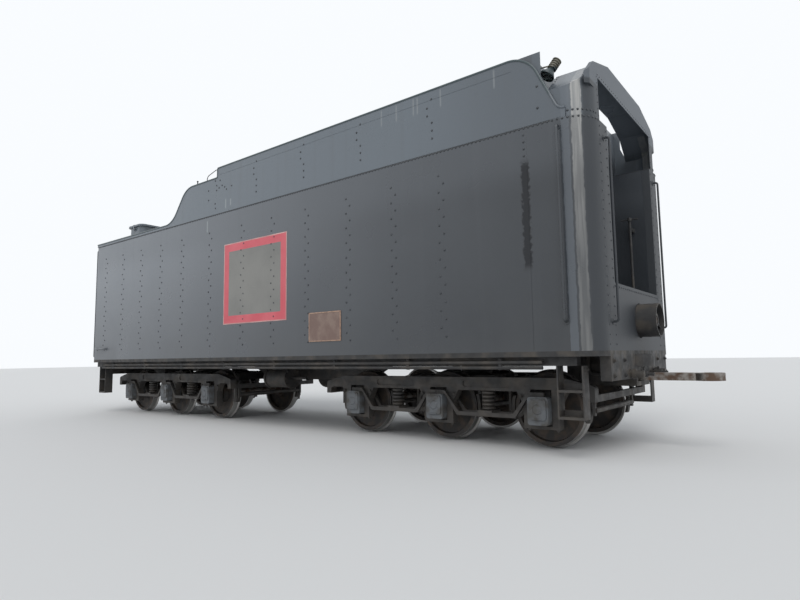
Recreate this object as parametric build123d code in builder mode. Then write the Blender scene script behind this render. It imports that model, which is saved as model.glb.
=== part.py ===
from build123d import *
import math
import os

# Steam locomotive tender with a riveted water tank, an open coal bunker and two
# six-wheel trucks. Millimetres. +X is the end that faces the engine, +Y is left,
# +Z is up. The origin is on the floor, under the middle of the tank. Heights build
# up from the wheels, and places along the tank are measured from its nearer end.

# Wheels and axles
axle_spacing = 1470.0
wheel_back_spacing = 1353.0
flange_radius = 482.6
tread_radius = 457.2
tread_fall = 7.0
rim_width = 140.0
rim_thickness = 62.0
rim_chamfer = 8.0
rim_fillet = 10.0
flange_thickness = 33.0
flange_round = 9.0
plate_place = 60.0
plate_dish = 32.0
plate_thickness = 26.0
hub_radius = 145.0
hub_length = 178.0
hub_back = 24.0
hub_fillet = 30.0
axle_seat_radius = 103.0
axle_waist_radius = 86.0
axle_taper = 196.0
journal_radius = 83.0
journal_collar_radius = 95.0
journal_collar = 22.0
journal_fillet = 12.0
journal_reach = 463.5

# Journal boxes
box_width = 260.0
box_height = 330.0
box_corner = 36.0
box_gap = 19.5
box_bore = 100.0
box_end_play = 5.0
box_end_wall = 15.0
box_slack = 4.0
box_lid_thickness = 15.0
box_lid_width = 216.0
box_lid_height = 250.0
box_lid_corner = 40.0
box_lid_shift = 22.0
box_hinge_radius = 13.0
box_hinge_length = 130.0

# Truck frame
truck_setback = 2375.0
frame_gap = 99.5
frame_thickness = 120.0
frame_overhang = 650.0
frame_rail_rise = 217.4
frame_rail_depth = 170.0
frame_end_slope = 370.0
frame_end_fall = 90.0
frame_horn = 90.0
frame_horn_drop = 100.0
frame_round = 45.0
end_bar_width = 60.0
end_bar_depth = 80.0
pocket_length = 700.0
pocket_height = 86.0
pocket_depth = 14.0
pocket_corner = 38.0
pedestal_room = 17.6
pedestal_tie = 38.0
pedestal_leg = 92.0
pedestal_shoulder = 180.0
pedestal_shoulder_drop = 160.0
pedestal_round = 40.0
pedestal_slot_rise = 30.0
transom_width = 200.0
transom_depth = 150.0
transom_pad = 30.0
stringer_places = (185.0, 575.0)
stringer_widths = (130.0, 120.0)
bolster_half_length = 110.0
bolster_end_depth = 90.0
centre_plate_rise = 130.0
centre_plate_radius = 200.0
centre_bowl_wall = 30.0
centre_bowl_foot = 40.0
centre_plate_gap = 0.5
centre_pin_radius = 40.0
centre_pin_slack = 6.0
centre_pin_depth = 120.0
side_bearing_gap = 14.0
side_bearing_radius = 70.0
body_bearing_radius = 55.0
body_bearing_depth = 20.0

# Equalizers and springs
equalizer_thickness = 40.0
equalizer_depth = 50.0
equalizer_drop = 102.6
equalizer_offset = 100.0
equalizer_end = 60.0
equalizer_seat = 135.0
equalizer_run = 320.0
equalizer_bend = 45.0
spring_radius = 85.0
spring_core_radius = 55.0
spring_turns = 5
spring_crown = (0.3, 0.7)
saddle_thickness = 25.0
saddle_half_length = 100.0

# Brakes
shoe_gap = 8.0
shoe_thickness = 42.0
shoe_width = 90.0
shoe_inset = 85.0
shoe_half_height = 150.0
hanger_thickness = 32.0
hanger_width = 50.0
hanger_foot = 60.0
hanger_head = 40.0
brake_beam_radius = 34.0
brake_beam_sink = 5.0

# Underframe
body_plate_depth = 19.5
bed_rib_depth = 101.0
bed_thickness = 60.0
sill_width = 120.0
sill_inset = 100.0
bolster_half_width = 260.0
rib_half_width = 30.0
rib_end_setback = 860.0
rib_gap = 1485.0
belly_half_width = 230.0
belly_depth = 260.0
belly_taper = 500.0
belly_end_gap = 115.0
end_sill_inset = 310.0
end_sill_thickness = 120.0
end_sill_drop = 170.0

# Tank
tank_length = 11520.0
tank_width = 3100.0
tank_height = 2600.0
front_corner_radius = 300.0
rear_corner_radius = 40.0

# Bunker side sheets. Their top edge runs level, sweeps up, steps up and sweeps down
# again. Each knee is where two straight stretches of the edge would meet.
plate = 10.0
edge_bar_radius = 16.0
curb_rise = 61.0
low_side_rise = 691.0
high_side_rise = 868.0
front_edge_rise = 113.0
rear_sweep_place = 3189.0
rear_sweep_angle = 52.0
rear_sweep_radii = (500.0, 440.0)
step_place = 4700.0
step_radius = 30.0
front_sweep_setback = 695.0
front_sweep_angle = 65.0
front_sweep_radii = (410.0, 115.0)
sheet_end_setback = 265.0

# Bunker rear bulkhead and its braces, and the ties across the bunker
bulkhead_place = 3760.0
bulkhead_drop = 70.0
bulkhead_bar_radius = 20.0
brace_count = 5
brace_spacing = 550.0
brace_drop = 50.0
brace_top_depth = 60.0
brace_foot_depth = 380.0
brace_thickness = 10.0
tie_count = 3
tie_start = 900.0
tie_end = 1625.0
tie_drop = 180.0
tie_radius = 30.0
tie_flange_radius = 70.0
tie_flange = 20.0

# Coal space inside the tank, with its rear slope and its floor over the stoker trough
hopper_lip = 390.0
hopper_slope_run = 3250.0
hopper_ledge = 110.0
hopper_floor_rise = 469.0
hopper_floor_ledge = 112.0

# Gangway at the front, between the two water legs, and the coal gate across it
water_leg_width = 600.0
gangway_rise = 769.0
gate_setback = 640.0
gate_half_width = 450.0
gate_sill = 120.0
gate_height = 1000.0
gate_sheet = 16.0
gate_gap = 8.0
gate_pin_gap = 2.0
gate_hinge_radius = 14.0
gate_strap = 12.0
gate_strap_height = 60.0
gate_strap_inset = 20.0
gate_strap_places = (200.0, 500.0, 800.0)
gate_rail = 60.0
gate_rail_gap = 10.0
upper_rail_rise = 300.0
bulkhead_top_drop = 40.0

# Wing plates and hood over the gangway
wing_rear_setback = 1220.0
wing_front_setback = 540.0
wing_rear_drop = 260.0
wing_foot_drop = 600.0
wing_notch_rise = 584.0
wing_nose_rise = 410.0
hood_depth = 465.0
hood_inset = 22.0
hood_eave_rise = 369.0
hood_knee_rise = 649.0
hood_crown_rise = 809.0
hood_knee_inset = 310.0
hood_crown_inset = 850.0
hood_post_width = 420.0
hood_opening_rise = 539.0
hood_rim_height = 38.0
hood_rim_depth = 45.0

# Stoker trough and conveyor screw
screw_axis_rise = 374.0
screw_radius = 180.0
screw_shaft_radius = 50.0
screw_pitch = 300.0
screw_blade = 14.0
trough_wall = 16.0
trough_gap = 12.0
trough_slack = 10.0
trough_start = 600.0
trough_end_gap = 20.0
trough_lip = 60.0
trough_reach = 240.0
saddle_half_width = 150.0
saddle_half_depth = 60.0
saddle_end = 400.0
saddle_front = 200.0
bearing_radius = 85.0
bearing_length = 60.0
bearing_setback = 40.0
bearing_gap = 12.0
bearing_arm = 18.0
bearing_arms = 3
shaft_end_gap = 8.0

# Manholes
manhole_place = 1050.0
manhole_inset = 650.0
manhole_length = 560.0
manhole_width = 620.0
manhole_corner = 120.0
manhole_rise = 389.0
manhole_ledge = 10.0
manhole_depth = 250.0
lid_thickness = 40.0
lid_overhang = 35.0
lid_gap = 1.0
lid_hinge_radius = 18.0
lid_hinge_length = 300.0
lid_bracket_depth = 54.0
lid_bracket_drop = 6.0

# Ladders, handrails and steps
ladder_insets = (400.0, 60.0)
ladder_rail_width = 50.0
ladder_rail_thickness = 12.0
ladder_bend = 40.0
ladder_standoff = 85.0
ladder_top_drop = 61.0
ladder_foot_rise = 59.0
rung_radius = 11.0
rung_spacing = 310.0
rung_end = 120.0
rail_radius = 14.0
rail_bend = 30.0
rail_standoff = 65.0
rail_foot_rise = 319.0
corner_rail_setback = 350.0
corner_rail_drop = 91.0
leg_rail_inset = 150.0
leg_rail_drop = 181.0
rear_rail_span = (180.0, 620.0)
rear_rail_rise = 239.0
front_step_span = (530.0, 230.0)
rear_step_span = (150.0, 430.0)
step_insets = (85.0, 250.0)
step_drops = (290.0, 580.0)
step_tread = 28.0
step_hanger = 16.0
step_back = 12.0
step_back_height = 90.0

# Lamps
lamp_setback = 230.0
lamp_rise = 329.0
lamp_radius = 165.0
lamp_back = 170.0
lamp_back_radius = 120.0
lamp_shoulder = 60.0
lamp_mouth = 130.0
lamp_glass_radius = 145.0
lamp_well = 70.0
lamp_visor = 40.0
lamp_visor_radius = 195.0
lamp_visor_thickness = 20.0
lamp_post_radius = 45.0
lamp_foot = (180.0, 260.0, 14.0)
lens_thickness = 20.0
lens_slack = 1.0
flood_mouth_setback = 41.0
flood_mouth_inset = 85.0
flood_mouth_drop = 60.0
flood_turn = 222.0
flood_tip = 146.0
flood_mouth_radius = 88.0
flood_lip = 16.0
flood_neck_radius = 38.0
flood_bell = 105.0
flood_shell = 7.0
flood_knob_radius = 46.0
flood_knob_length = 125.0
flood_fin_radius = 56.0
flood_fin = 9.0
flood_fins = 5
flood_arm_radius = 9.0
flood_pad = (70.0, 19.0, 60.0)
flood_pad_setback = 45.0
flood_pad_drop = 190.0

# Couplings
coupler_drop = 118.0
coupler_reach = 900.0
coupler_head_length = 480.0
coupler_head_half_height = 140.0
knuckle_half_height = 112.0
knuckle_clearance = 6.0
knuckle_pivot_back = 240.0
knuckle_pivot_side = 135.0
knuckle_eye_radius = 62.0
knuckle_pin_radius = 20.0
knuckle_pin_stand = 15.0
lug_radius = 72.0
lug_cut_radius = 120.0
shank_half_width = 75.0
shank_half_height = 62.0
shank_sink = 20.0
shank_pin_place = 560.0
shank_pin_radius = 35.0
draft_box_half_width = 230.0
draft_box_floor = 90.0
striker = 70.0
drawbar_drop = 158.0
drawbar_reach = 900.0
drawbar_half_width = 105.0
drawbar_thickness = 90.0
drawbar_eye_radius = 165.0
drawbar_pin_radius = 57.0
drawbar_pin_place = 620.0
drawbar_pin_hold = 47.0
drawbar_box_side = 55.0
drawbar_box_floor = 57.0
drawbar_slot_room = 70.0
buffer_rise = 128.0
buffer_height = 150.0
buffer_reach = 130.0
buffer_side_reach = 70.0
buffer_taper = 50.0
pin_slack = 1.0
slot_gap = 8.0
swing_room = 60.0
box_end_room = 15.0
shank_end_room = 65.0
box_end_thickness = 60.0

# Uncoupling lever
lever_stand = 105.0
lever_rise = 70.0
lever_radius = 13.0
lever_bend = 60.0
lever_eye = (60.0, 175.0)
lever_crank = 160.0
lever_handle = (1180.0, 1330.0, 260.0)
lever_bracket_places = (380.0, 1050.0)
lever_bracket_half = (20.0, 24.0)

# Hand brake
staff_setback = 270.0
staff_inset = 140.0
staff_radius = 18.0
staff_height = 1100.0
staff_foot_radius = 60.0
staff_foot = 24.0
staff_bracket = (25.0, 120.0, 50.0)
brake_wheel_radius = 115.0
brake_rim_radius = 13.0
brake_spoke_radius = 9.0
brake_spokes = 3
brake_hub_radius = 32.0
brake_hub_length = 40.0

# Brake cylinder and air reservoir between the trucks
cylinder_place = -300.0
cylinder_side = 640.0
cylinder_drop = 220.0
cylinder_radius = 170.0
cylinder_length = 520.0
cylinder_flange_radius = 190.0
cylinder_flange = 30.0
cylinder_rod_radius = 28.0
cylinder_rod_length = 400.0
cylinder_bracket_half = (130.0, 80.0)
reservoir_side = 720.0
reservoir_drop = 245.0
reservoir_radius = 220.0
reservoir_length = 1200.0
reservoir_round = 90.0
reservoir_strap = 60.0
reservoir_strap_inset = 200.0
reservoir_strap_sink = 70.0

# Pipes
side_pipe_inset = 50.0
side_pipe_rear = 350.0
side_pipe_front = 670.0
side_pipe_drops = (59.0, 121.0)
side_pipe_radii = (24.0, 20.0)
pipe_clips = 8
pipe_clip_inset = 525.0
pipe_clip_half = (20.0, 10.0)
pipe_clip_drop = 146.0
pipe_drop = 120.0
air_pipe_radius = 24.0
air_pipe_bend = 80.0
air_pipe_setback = 560.0
rear_air_pipe_side = 400.0
front_air_pipe_side = 350.0
nipple_radius = 20.0
nipple_length = 70.0
cock_radius = 38.0
cock_length = 90.0
cock_place = 100.0
cock_handle_half = 12.0
cock_handle_height = 75.0
outlet_side = 520.0
outlet_drop = 115.0
outlet_radius = 45.0
outlet_collar_radius = 62.0
outlet_collar_length = 40.0
outlet_collar_place = 45.0
nozzle_radius = 42.0
nozzle_length = 85.0
pot_radius = 105.0
pot_setback = 250.0
pot_drop = 180.0
pipe_slack = 2.0

# Heights, from the floor up
axle_height = flange_radius
frame_rail_bottom = axle_height + frame_rail_rise
frame_rail_top = frame_rail_bottom + frame_rail_depth
transom_top = frame_rail_bottom + transom_depth
centre_plate_top = frame_rail_top + centre_plate_rise
bed_bottom = centre_plate_top + centre_plate_gap + body_plate_depth
bed_top = bed_bottom + bed_rib_depth
tank_bottom = bed_top + bed_thickness
deck = tank_bottom + tank_height
curb_edge = deck + curb_rise
low_edge = deck + low_side_rise
high_edge = deck + high_side_rise
front_edge = deck + front_edge_rise
hopper_floor = tank_bottom + hopper_floor_rise
gangway_floor = tank_bottom + gangway_rise
screw_axis = tank_bottom + screw_axis_rise
coupler_height = bed_bottom - coupler_drop
drawbar_height = bed_bottom - drawbar_drop
pipe_height = bed_bottom - pipe_drop
outlet_height = bed_bottom - outlet_drop

# Widths, out from the middle
half_width = tank_width / 2
half_wheel_back = wheel_back_spacing / 2
wheel_face = half_wheel_back + hub_length - hub_back
journal_end = half_wheel_back + journal_reach
box_inner = wheel_face + box_gap
box_outer = journal_end + box_end_play + box_end_wall
frame_inner = wheel_face + frame_gap
frame_middle = frame_inner + frame_thickness / 2
gangway_half_width = half_width - water_leg_width
wing_inner = half_width - hood_inset - plate
side_sill = half_width - sill_inset
trough_bore = screw_radius + trough_gap
trough_outer = trough_bore + trough_wall
trough_room = trough_outer + trough_slack

# Places along the tender
x_rear = -tank_length / 2
x_front = tank_length / 2
gate_x = x_front - gate_setback
hood_rear = x_front - hood_depth
wing_front = x_front - wing_front_setback
axle_places = (-axle_spacing, 0.0, axle_spacing)
truck_places = {"rear": x_rear + truck_setback, "front": x_front - truck_setback}
frame_half_length = axle_spacing + frame_overhang
truck_clear = truck_places["front"] - frame_half_length

os.makedirs("parts", exist_ok=True)


def along(distance):
    """X of a place measured forward from the tank's rear face."""
    return x_rear + distance


def span(first, second):
    """Two limits in rising order."""
    return tuple(sorted((first, second)))


def bar(x_span, y_span, z_span, mode=Mode.ADD):
    """A rectangular piece between two limits on each axis."""
    middle = tuple((low + high) / 2 for low, high in (x_span, y_span, z_span))
    size = tuple(high - low for low, high in (x_span, y_span, z_span))
    with Locations(middle):
        Box(*size, mode=mode)


def pin(centre, radius, length, turn=(0, 0, 0), mode=Mode.ADD):
    """A round piece about its centre, upright unless turned."""
    with Locations(Location(centre, turn)):
        Cylinder(radius, length, mode=mode)


def bent_rod(points, radius, bend=0):
    """A round rod or pipe bent through the given points."""
    with BuildPart() as rod:
        with BuildLine() as route:
            if len(points) > 2:
                FilletPolyline(*points, radius=bend)
            else:
                Line(*points)
        with BuildSketch(Plane(origin=route.line @ 0, z_dir=route.line % 0)):
            Circle(radius)
        sweep(path=route.line)
    return rod.part


def save(part, name):
    """Name a finished piece and write its file."""
    part.label = name
    export_step(part, f"parts/{name}.step")


ACROSS = (90, 0, 0)
ALONG = (0, 90, 0)

# Water tank: a closed box with round front corners. The coal space is sunk into it
# between two side slopes and a long rear slope, and the gangway opens in its front.
hopper_rear = along(bulkhead_place + hopper_lip)
slope_foot = hopper_rear + hopper_slope_run
trough_place = slope_foot + trough_start
gangway = (-gangway_half_width, gangway_half_width)
manhole_side = half_width - manhole_inset
manhole_inner_length = manhole_length - 2 * plate
manhole_inner_width = manhole_width - 2 * plate
with BuildPart() as water_tank:
    with BuildSketch(Plane.XY.offset(tank_bottom)):
        Rectangle(tank_length, tank_width)
        fillet(vertices().group_by(Axis.X)[-1], front_corner_radius)
        fillet(vertices().group_by(Axis.X)[0], rear_corner_radius)
    extrude(amount=tank_height)
    with BuildSketch(Plane.XY.offset(deck)):
        with Locations(((hopper_rear + gate_x) / 2, 0)):
            Rectangle(gate_x - hopper_rear, 2 * (half_width - hopper_ledge))
    with BuildSketch(Plane.XY.offset(hopper_floor)):
        with Locations(((slope_foot + gate_x) / 2, 0)):
            Rectangle(gate_x - slope_foot, 2 * (trough_room + hopper_floor_ledge))
    loft(mode=Mode.SUBTRACT)
    bar((gate_x, x_front + 1), gangway, (gangway_floor, deck + 1), Mode.SUBTRACT)
    for side in (-1, 1):
        with Locations((along(manhole_place), side * manhole_side, deck)):
            Box(
                manhole_inner_length - 2 * manhole_ledge,
                manhole_inner_width - 2 * manhole_ledge,
                2 * manhole_depth,
                mode=Mode.SUBTRACT,
            )
    bar(
        (trough_place, gate_x),
        (-trough_room, trough_room),
        (screw_axis - trough_room, hopper_floor + 1),
        Mode.SUBTRACT,
    )
    pin(
        ((trough_place + x_front) / 2 + 1, 0, screw_axis),
        trough_room,
        x_front - trough_place + 2,
        ALONG,
        Mode.SUBTRACT,
    )
save(water_tank.part, "water_tank")

# Bunker side sheet, drawn in elevation for the right side, with the half-round
# bar that stiffens its top edge.
rear_rise = (low_edge - curb_edge) / math.tan(math.radians(rear_sweep_angle))
front_drop = (high_edge - front_edge) / math.tan(math.radians(front_sweep_angle))
front_knee = x_front - front_sweep_setback
edge_knees = [
    (x_rear, curb_edge),
    (along(rear_sweep_place), curb_edge),
    (along(rear_sweep_place) + rear_rise, low_edge),
    (along(step_place), low_edge),
    (along(step_place), high_edge),
    (front_knee, high_edge),
    (front_knee + front_drop, front_edge),
    (x_front - sheet_end_setback, front_edge),
]
edge_radii = (*rear_sweep_radii, step_radius, step_radius, *front_sweep_radii)
with BuildPart() as bunker_side:
    with BuildSketch(Plane.XZ.offset(half_width - plate)):
        with BuildLine():
            edge = FilletPolyline(*edge_knees, radius=edge_radii)
            Polyline(edge @ 1, (edge_knees[-1][0], deck), (x_rear, deck), edge @ 0)
        make_face()
    extrude(amount=plate)
    with BuildLine(Plane.XZ.offset(half_width - plate / 2)) as edge_bar:
        FilletPolyline(*edge_knees, radius=edge_radii)
    with BuildSketch(Plane(origin=edge_bar.line @ 0, z_dir=edge_bar.line % 0)):
        Circle(edge_bar_radius)
    sweep(path=edge_bar.line)
save(bunker_side.part, "bunker_side_right")
save(bunker_side.part.mirror(Plane.XZ), "bunker_side_left")

# Curb across the rear edge of the deck
curb_half_width = half_width - 2 * edge_bar_radius
with BuildPart() as rear_curb:
    bar((x_rear, x_rear + plate), (-curb_half_width, curb_half_width), (deck, curb_edge))
    pin((x_rear + plate / 2, 0, curb_edge), edge_bar_radius, 2 * curb_half_width, ACROSS)
save(rear_curb.part, "rear_curb")

# Bunker rear bulkhead with its upright ribs and sloping deck braces
bulkhead_x = along(bulkhead_place)
bulkhead_top = low_edge - bulkhead_drop
sheet_inner = half_width - plate
with BuildPart() as bunker_bulkhead:
    bar((bulkhead_x, bulkhead_x + plate), (-sheet_inner, sheet_inner), (deck, bulkhead_top))
    pin((bulkhead_x + plate / 2, 0, bulkhead_top), bulkhead_bar_radius, 2 * sheet_inner, ACROSS)
    for brace in range(brace_count):
        with BuildSketch(Plane.XZ.offset((brace - (brace_count - 1) / 2) * brace_spacing)):
            with BuildLine():
                Polyline(
                    (bulkhead_x, deck),
                    (bulkhead_x, bulkhead_top - brace_drop),
                    (bulkhead_x - brace_top_depth, bulkhead_top - brace_drop),
                    (bulkhead_x - brace_foot_depth, deck),
                    close=True,
                )
            make_face()
        extrude(amount=brace_thickness / 2, both=True)
save(bunker_bulkhead.part, "bunker_bulkhead")

# Ties across the bunker, which hold its two side sheets together
tie_height = high_edge - tie_drop
first_tie = along(step_place) + tie_start
last_tie = front_knee - tie_end
with BuildPart() as bunker_ties:
    for tie in range(tie_count):
        place = first_tie + (last_tie - first_tie) * tie / (tie_count - 1)
        pin((place, 0, tie_height), tie_radius, 2 * sheet_inner, ACROSS)
        for side in (-1, 1):
            pin((place, side * (sheet_inner - tie_flange / 2), tie_height),
                tie_flange_radius, tie_flange, ACROSS)
save(bunker_ties.part, "bunker_ties")

# Wing plates inside the front ends of the side sheets
with BuildPart() as front_wings:
    with BuildSketch(Plane.XZ.offset(wing_inner)):
        with BuildLine():
            Polyline(
                (x_front - wing_rear_setback, high_edge - wing_rear_drop),
                (x_front - wing_rear_setback, high_edge),
                (wing_front, high_edge),
                (wing_front, deck + wing_notch_rise),
                (hood_rear, deck + wing_nose_rise),
                (hood_rear, deck),
                (gate_x, deck),
                (gate_x, high_edge - wing_foot_drop),
                close=True,
            )
        make_face()
    extrude(amount=plate)
    mirror(about=Plane.XZ)
save(front_wings.part, "front_wings")

# Coal gate bulkhead, across the front of the bunker, with the doorway for coal
sill_top = gangway_floor + gate_sill
gate_top = sill_top + gate_height
rail_heights = (sill_top - gate_rail_gap - gate_rail, gate_top + gate_rail_gap, deck + upper_rail_rise)
with BuildPart() as coal_gate_bulkhead:
    bar((gate_x, gate_x + plate), gangway, (gangway_floor, deck))
    bar((gate_x, gate_x + plate), (-wing_inner, wing_inner), (deck, high_edge - bulkhead_top_drop))
    bar(
        (gate_x - 1, gate_x + plate + 1),
        (-gate_half_width, gate_half_width),
        (sill_top, gate_top),
        Mode.SUBTRACT,
    )
    for height in rail_heights:
        bar((gate_x + plate, gate_x + plate + gate_rail), gangway, (height, height + gate_rail))
save(coal_gate_bulkhead.part, "coal_gate_bulkhead")

# Coal gates: two leaves hung on the bulkhead that open towards the engine
leaf_x = gate_x + plate + gate_gap
leaf_front = leaf_x + gate_sheet
hinge_y = -gate_half_width - gate_hinge_radius
with BuildPart() as coal_gate:
    bar((leaf_x, leaf_front), (hinge_y, -gate_gap / 2), (sill_top, gate_top))
    pin(
        (leaf_x + gate_sheet / 2, hinge_y, (sill_top + gate_top) / 2),
        gate_hinge_radius,
        gate_height + 2 * (gate_rail_gap - gate_pin_gap),
    )
    for place in gate_strap_places:
        bar(
            (leaf_front, leaf_front + gate_strap),
            (-gate_half_width + gate_strap_inset, -gate_strap_height),
            (sill_top + place - gate_strap_height / 2, sill_top + place + gate_strap_height / 2),
        )
save(coal_gate.part, "coal_gate_right")
save(coal_gate.part.mirror(Plane.XZ), "coal_gate_left")


def hood_form(growth):
    """The hood's outside form: the tank's front outline under a hipped roof."""
    half = half_width - hood_inset + growth
    knee_y = half_width - hood_knee_inset + growth / 2
    crown_y = half_width - hood_crown_inset
    eave, knee, crown = (
        deck + rise + growth for rise in (hood_eave_rise, hood_knee_rise, hood_crown_rise)
    )
    roof_outline = [
        (-half, deck),
        (-half, eave),
        (-knee_y, knee),
        (-crown_y, crown),
        (crown_y, crown),
        (knee_y, knee),
        (half, eave),
        (half, deck),
    ]
    front = x_front - hood_inset + growth
    with BuildPart() as form:
        with BuildSketch(Plane.XY.offset(deck)):
            with Locations(((hood_rear + front) / 2, 0)):
                Rectangle(front - hood_rear, 2 * half)
            fillet(vertices().group_by(Axis.X)[-1], front_corner_radius - hood_inset + growth)
        extrude(amount=crown - deck + 1)
        with BuildSketch(Plane.YZ.offset(hood_rear)):
            with BuildLine():
                Polyline(*roof_outline, close=True)
            make_face()
        extrude(amount=front - hood_rear, mode=Mode.INTERSECT)
    return form.part


# Hood: thin sheet round the gangway's front, open to the engine and to the bunker,
# with a raised rim along the front edge of its roof
hood_outer = hood_form(0)
hood_inner = hood_form(-plate)
hood_rim = hood_form(hood_rim_height)
hood_front = x_front - hood_inset
all_across = (-tank_width, tank_width)
above_crown = deck + 2 * hood_crown_rise
with BuildPart() as front_hood:
    add(hood_rim)
    bar((hood_rear - 1, hood_front - hood_rim_depth), all_across, (deck - 1, above_crown), Mode.SUBTRACT)
    bar((hood_rear - 1, x_front + tank_width), all_across, (deck - 1, deck + hood_eave_rise), Mode.SUBTRACT)
    bar((hood_front, x_front + tank_width), all_across, (deck - 1, above_crown), Mode.SUBTRACT)
    add(hood_outer)
    add(hood_inner, mode=Mode.SUBTRACT)
    opening = (-half_width + hood_post_width, half_width - hood_post_width)
    bar((x_front - front_corner_radius, x_front + 1), opening, (deck - 1, deck + hood_opening_rise),
        Mode.SUBTRACT)
save(front_hood.part, "front_hood")

# Manholes: two raised rims on the rear deck, each with a lid hinged at its inner edge
manhole_x = along(manhole_place)
rim_top = deck + manhole_rise
lid_middle = rim_top + lid_gap + lid_thickness / 2
lid_hinge_y = manhole_side - manhole_width / 2 - lid_overhang
with BuildPart() as manhole_rims:
    with BuildSketch(Plane.XY.offset(deck)):
        with Locations((manhole_x, -manhole_side)):
            RectangleRounded(manhole_length, manhole_width, manhole_corner)
            RectangleRounded(
                manhole_inner_length, manhole_inner_width, manhole_corner - plate, mode=Mode.SUBTRACT
            )
    extrude(amount=manhole_rise)
    bar(
        (manhole_x - lid_hinge_length / 2, manhole_x + lid_hinge_length / 2),
        (-manhole_side + manhole_width / 2, -lid_hinge_y),
        (rim_top - lid_bracket_drop - lid_bracket_depth, rim_top - lid_bracket_drop),
    )
    mirror(about=Plane.XZ)
save(manhole_rims.part, "manhole_rims")

with BuildPart() as manhole_lid:
    with BuildSketch(Plane.XY.offset(rim_top + lid_gap)):
        with Locations((manhole_x, -manhole_side)):
            RectangleRounded(
                manhole_length + 2 * lid_overhang, manhole_width + 2 * lid_overhang, manhole_corner
            )
    extrude(amount=lid_thickness)
    pin((manhole_x, -lid_hinge_y, lid_middle), lid_hinge_radius, lid_hinge_length, ALONG)
save(manhole_lid.part, "manhole_lid_right")
save(manhole_lid.part.mirror(Plane.XZ), "manhole_lid_left")

# Underframe: one casting with a flat top under the tank, side sills, a belly that
# deepens between the trucks, bolsters, cross ribs and end sills.
belly_half_length = truck_clear - belly_end_gap
inner_rib = truck_places["front"] - rib_gap
end_rib = x_front - rib_end_setback
rib_places = (-end_rib, -inner_rib, -inner_rib / 2, 0, inner_rib / 2, inner_rib, end_rib)
end_sill = (-half_width + end_sill_inset, half_width - end_sill_inset)
draft_box_end = x_rear + shank_pin_place + shank_half_width + shank_end_room + box_end_thickness
drawbar_box_end = x_front - drawbar_pin_place - drawbar_eye_radius - box_end_room - box_end_thickness
drawbar_slot_half = drawbar_half_width + swing_room + drawbar_slot_room
drawbar_box_half = drawbar_slot_half + drawbar_box_side
shank_slot = shank_half_height + slot_gap
drawbar_slot = drawbar_thickness / 2 + slot_gap
air_pipe_places = (
    (x_rear, -1, rear_air_pipe_side),
    (x_front, 1, front_air_pipe_side),
    (x_front, 1, -front_air_pipe_side),
)
with BuildPart() as underframe:
    with BuildSketch(Plane.XY.offset(bed_top)):
        Rectangle(tank_length, tank_width)
        fillet(vertices().group_by(Axis.X)[-1], front_corner_radius)
        fillet(vertices().group_by(Axis.X)[0], rear_corner_radius)
    extrude(amount=bed_thickness)
    for side in (-1, 1):
        bar(
            (x_rear, x_front - front_corner_radius),
            span(side * side_sill, side * (side_sill - sill_width)),
            (bed_bottom, bed_top),
        )
    with BuildSketch(Plane.XZ):
        with BuildLine():
            Polyline(
                (x_rear, bed_top),
                (x_front, bed_top),
                (x_front, bed_bottom),
                (belly_half_length + belly_taper, bed_bottom),
                (belly_half_length, bed_bottom - belly_depth),
                (-belly_half_length, bed_bottom - belly_depth),
                (-belly_half_length - belly_taper, bed_bottom),
                (x_rear, bed_bottom),
                close=True,
            )
        make_face()
    extrude(amount=belly_half_width, both=True)
    for place in truck_places.values():
        bar((place - bolster_half_width, place + bolster_half_width), (-side_sill, side_sill),
            (bed_bottom, bed_top))
        plate_depth = bed_bottom - centre_plate_top - centre_plate_gap
        pin((place, 0, bed_bottom - plate_depth / 2), centre_plate_radius, plate_depth)
        pin_length = bed_bottom - centre_plate_top + centre_pin_depth
        pin((place, 0, bed_bottom - pin_length / 2), centre_pin_radius, pin_length)
        for side in (-1, 1):
            pin((place, side * stringer_places[1], bed_bottom), body_bearing_radius, 2 * body_bearing_depth)
    for place in rib_places:
        bar((place - rib_half_width, place + rib_half_width), (-side_sill, side_sill), (bed_bottom, bed_top))
    for near in (x_rear, x_front - end_sill_thickness):
        bar((near, near + end_sill_thickness), end_sill, (bed_bottom - end_sill_drop, bed_top))
    # draft gear box at the rear and drawbar box at the front
    bar((x_rear - striker, draft_box_end), (-draft_box_half_width, draft_box_half_width),
        (coupler_height - shank_slot - draft_box_floor, bed_bottom))
    bar((drawbar_box_end, x_front), (-drawbar_box_half, drawbar_box_half),
        (drawbar_height - drawbar_slot - drawbar_box_floor, bed_bottom))
    shank_slot_half = shank_half_width + swing_room
    bar((x_rear - striker - 1, draft_box_end - box_end_thickness), (-shank_slot_half, shank_slot_half),
        (coupler_height - shank_slot, coupler_height + shank_slot), Mode.SUBTRACT)
    bar((drawbar_box_end + box_end_thickness, x_front + 1), (-drawbar_slot_half, drawbar_slot_half),
        (drawbar_height - drawbar_slot, drawbar_height + drawbar_slot), Mode.SUBTRACT)
    pin((x_rear + shank_pin_place, 0, coupler_height), shank_pin_radius, 2 * (shank_slot + draft_box_floor))
    pin((x_front - drawbar_pin_place, 0, drawbar_height), drawbar_pin_radius,
        2 * (drawbar_slot + drawbar_pin_hold))
    for end, inward, y in air_pipe_places:
        pin((end, y, pipe_height), air_pipe_radius + pipe_slack, 2 * air_pipe_setback, ALONG, Mode.SUBTRACT)
    for side in (-1, 1):
        pin((x_front, side * outlet_side, outlet_height), outlet_radius + pipe_slack,
            2 * pot_setback, ALONG, Mode.SUBTRACT)
save(underframe.part, "underframe")

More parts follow.
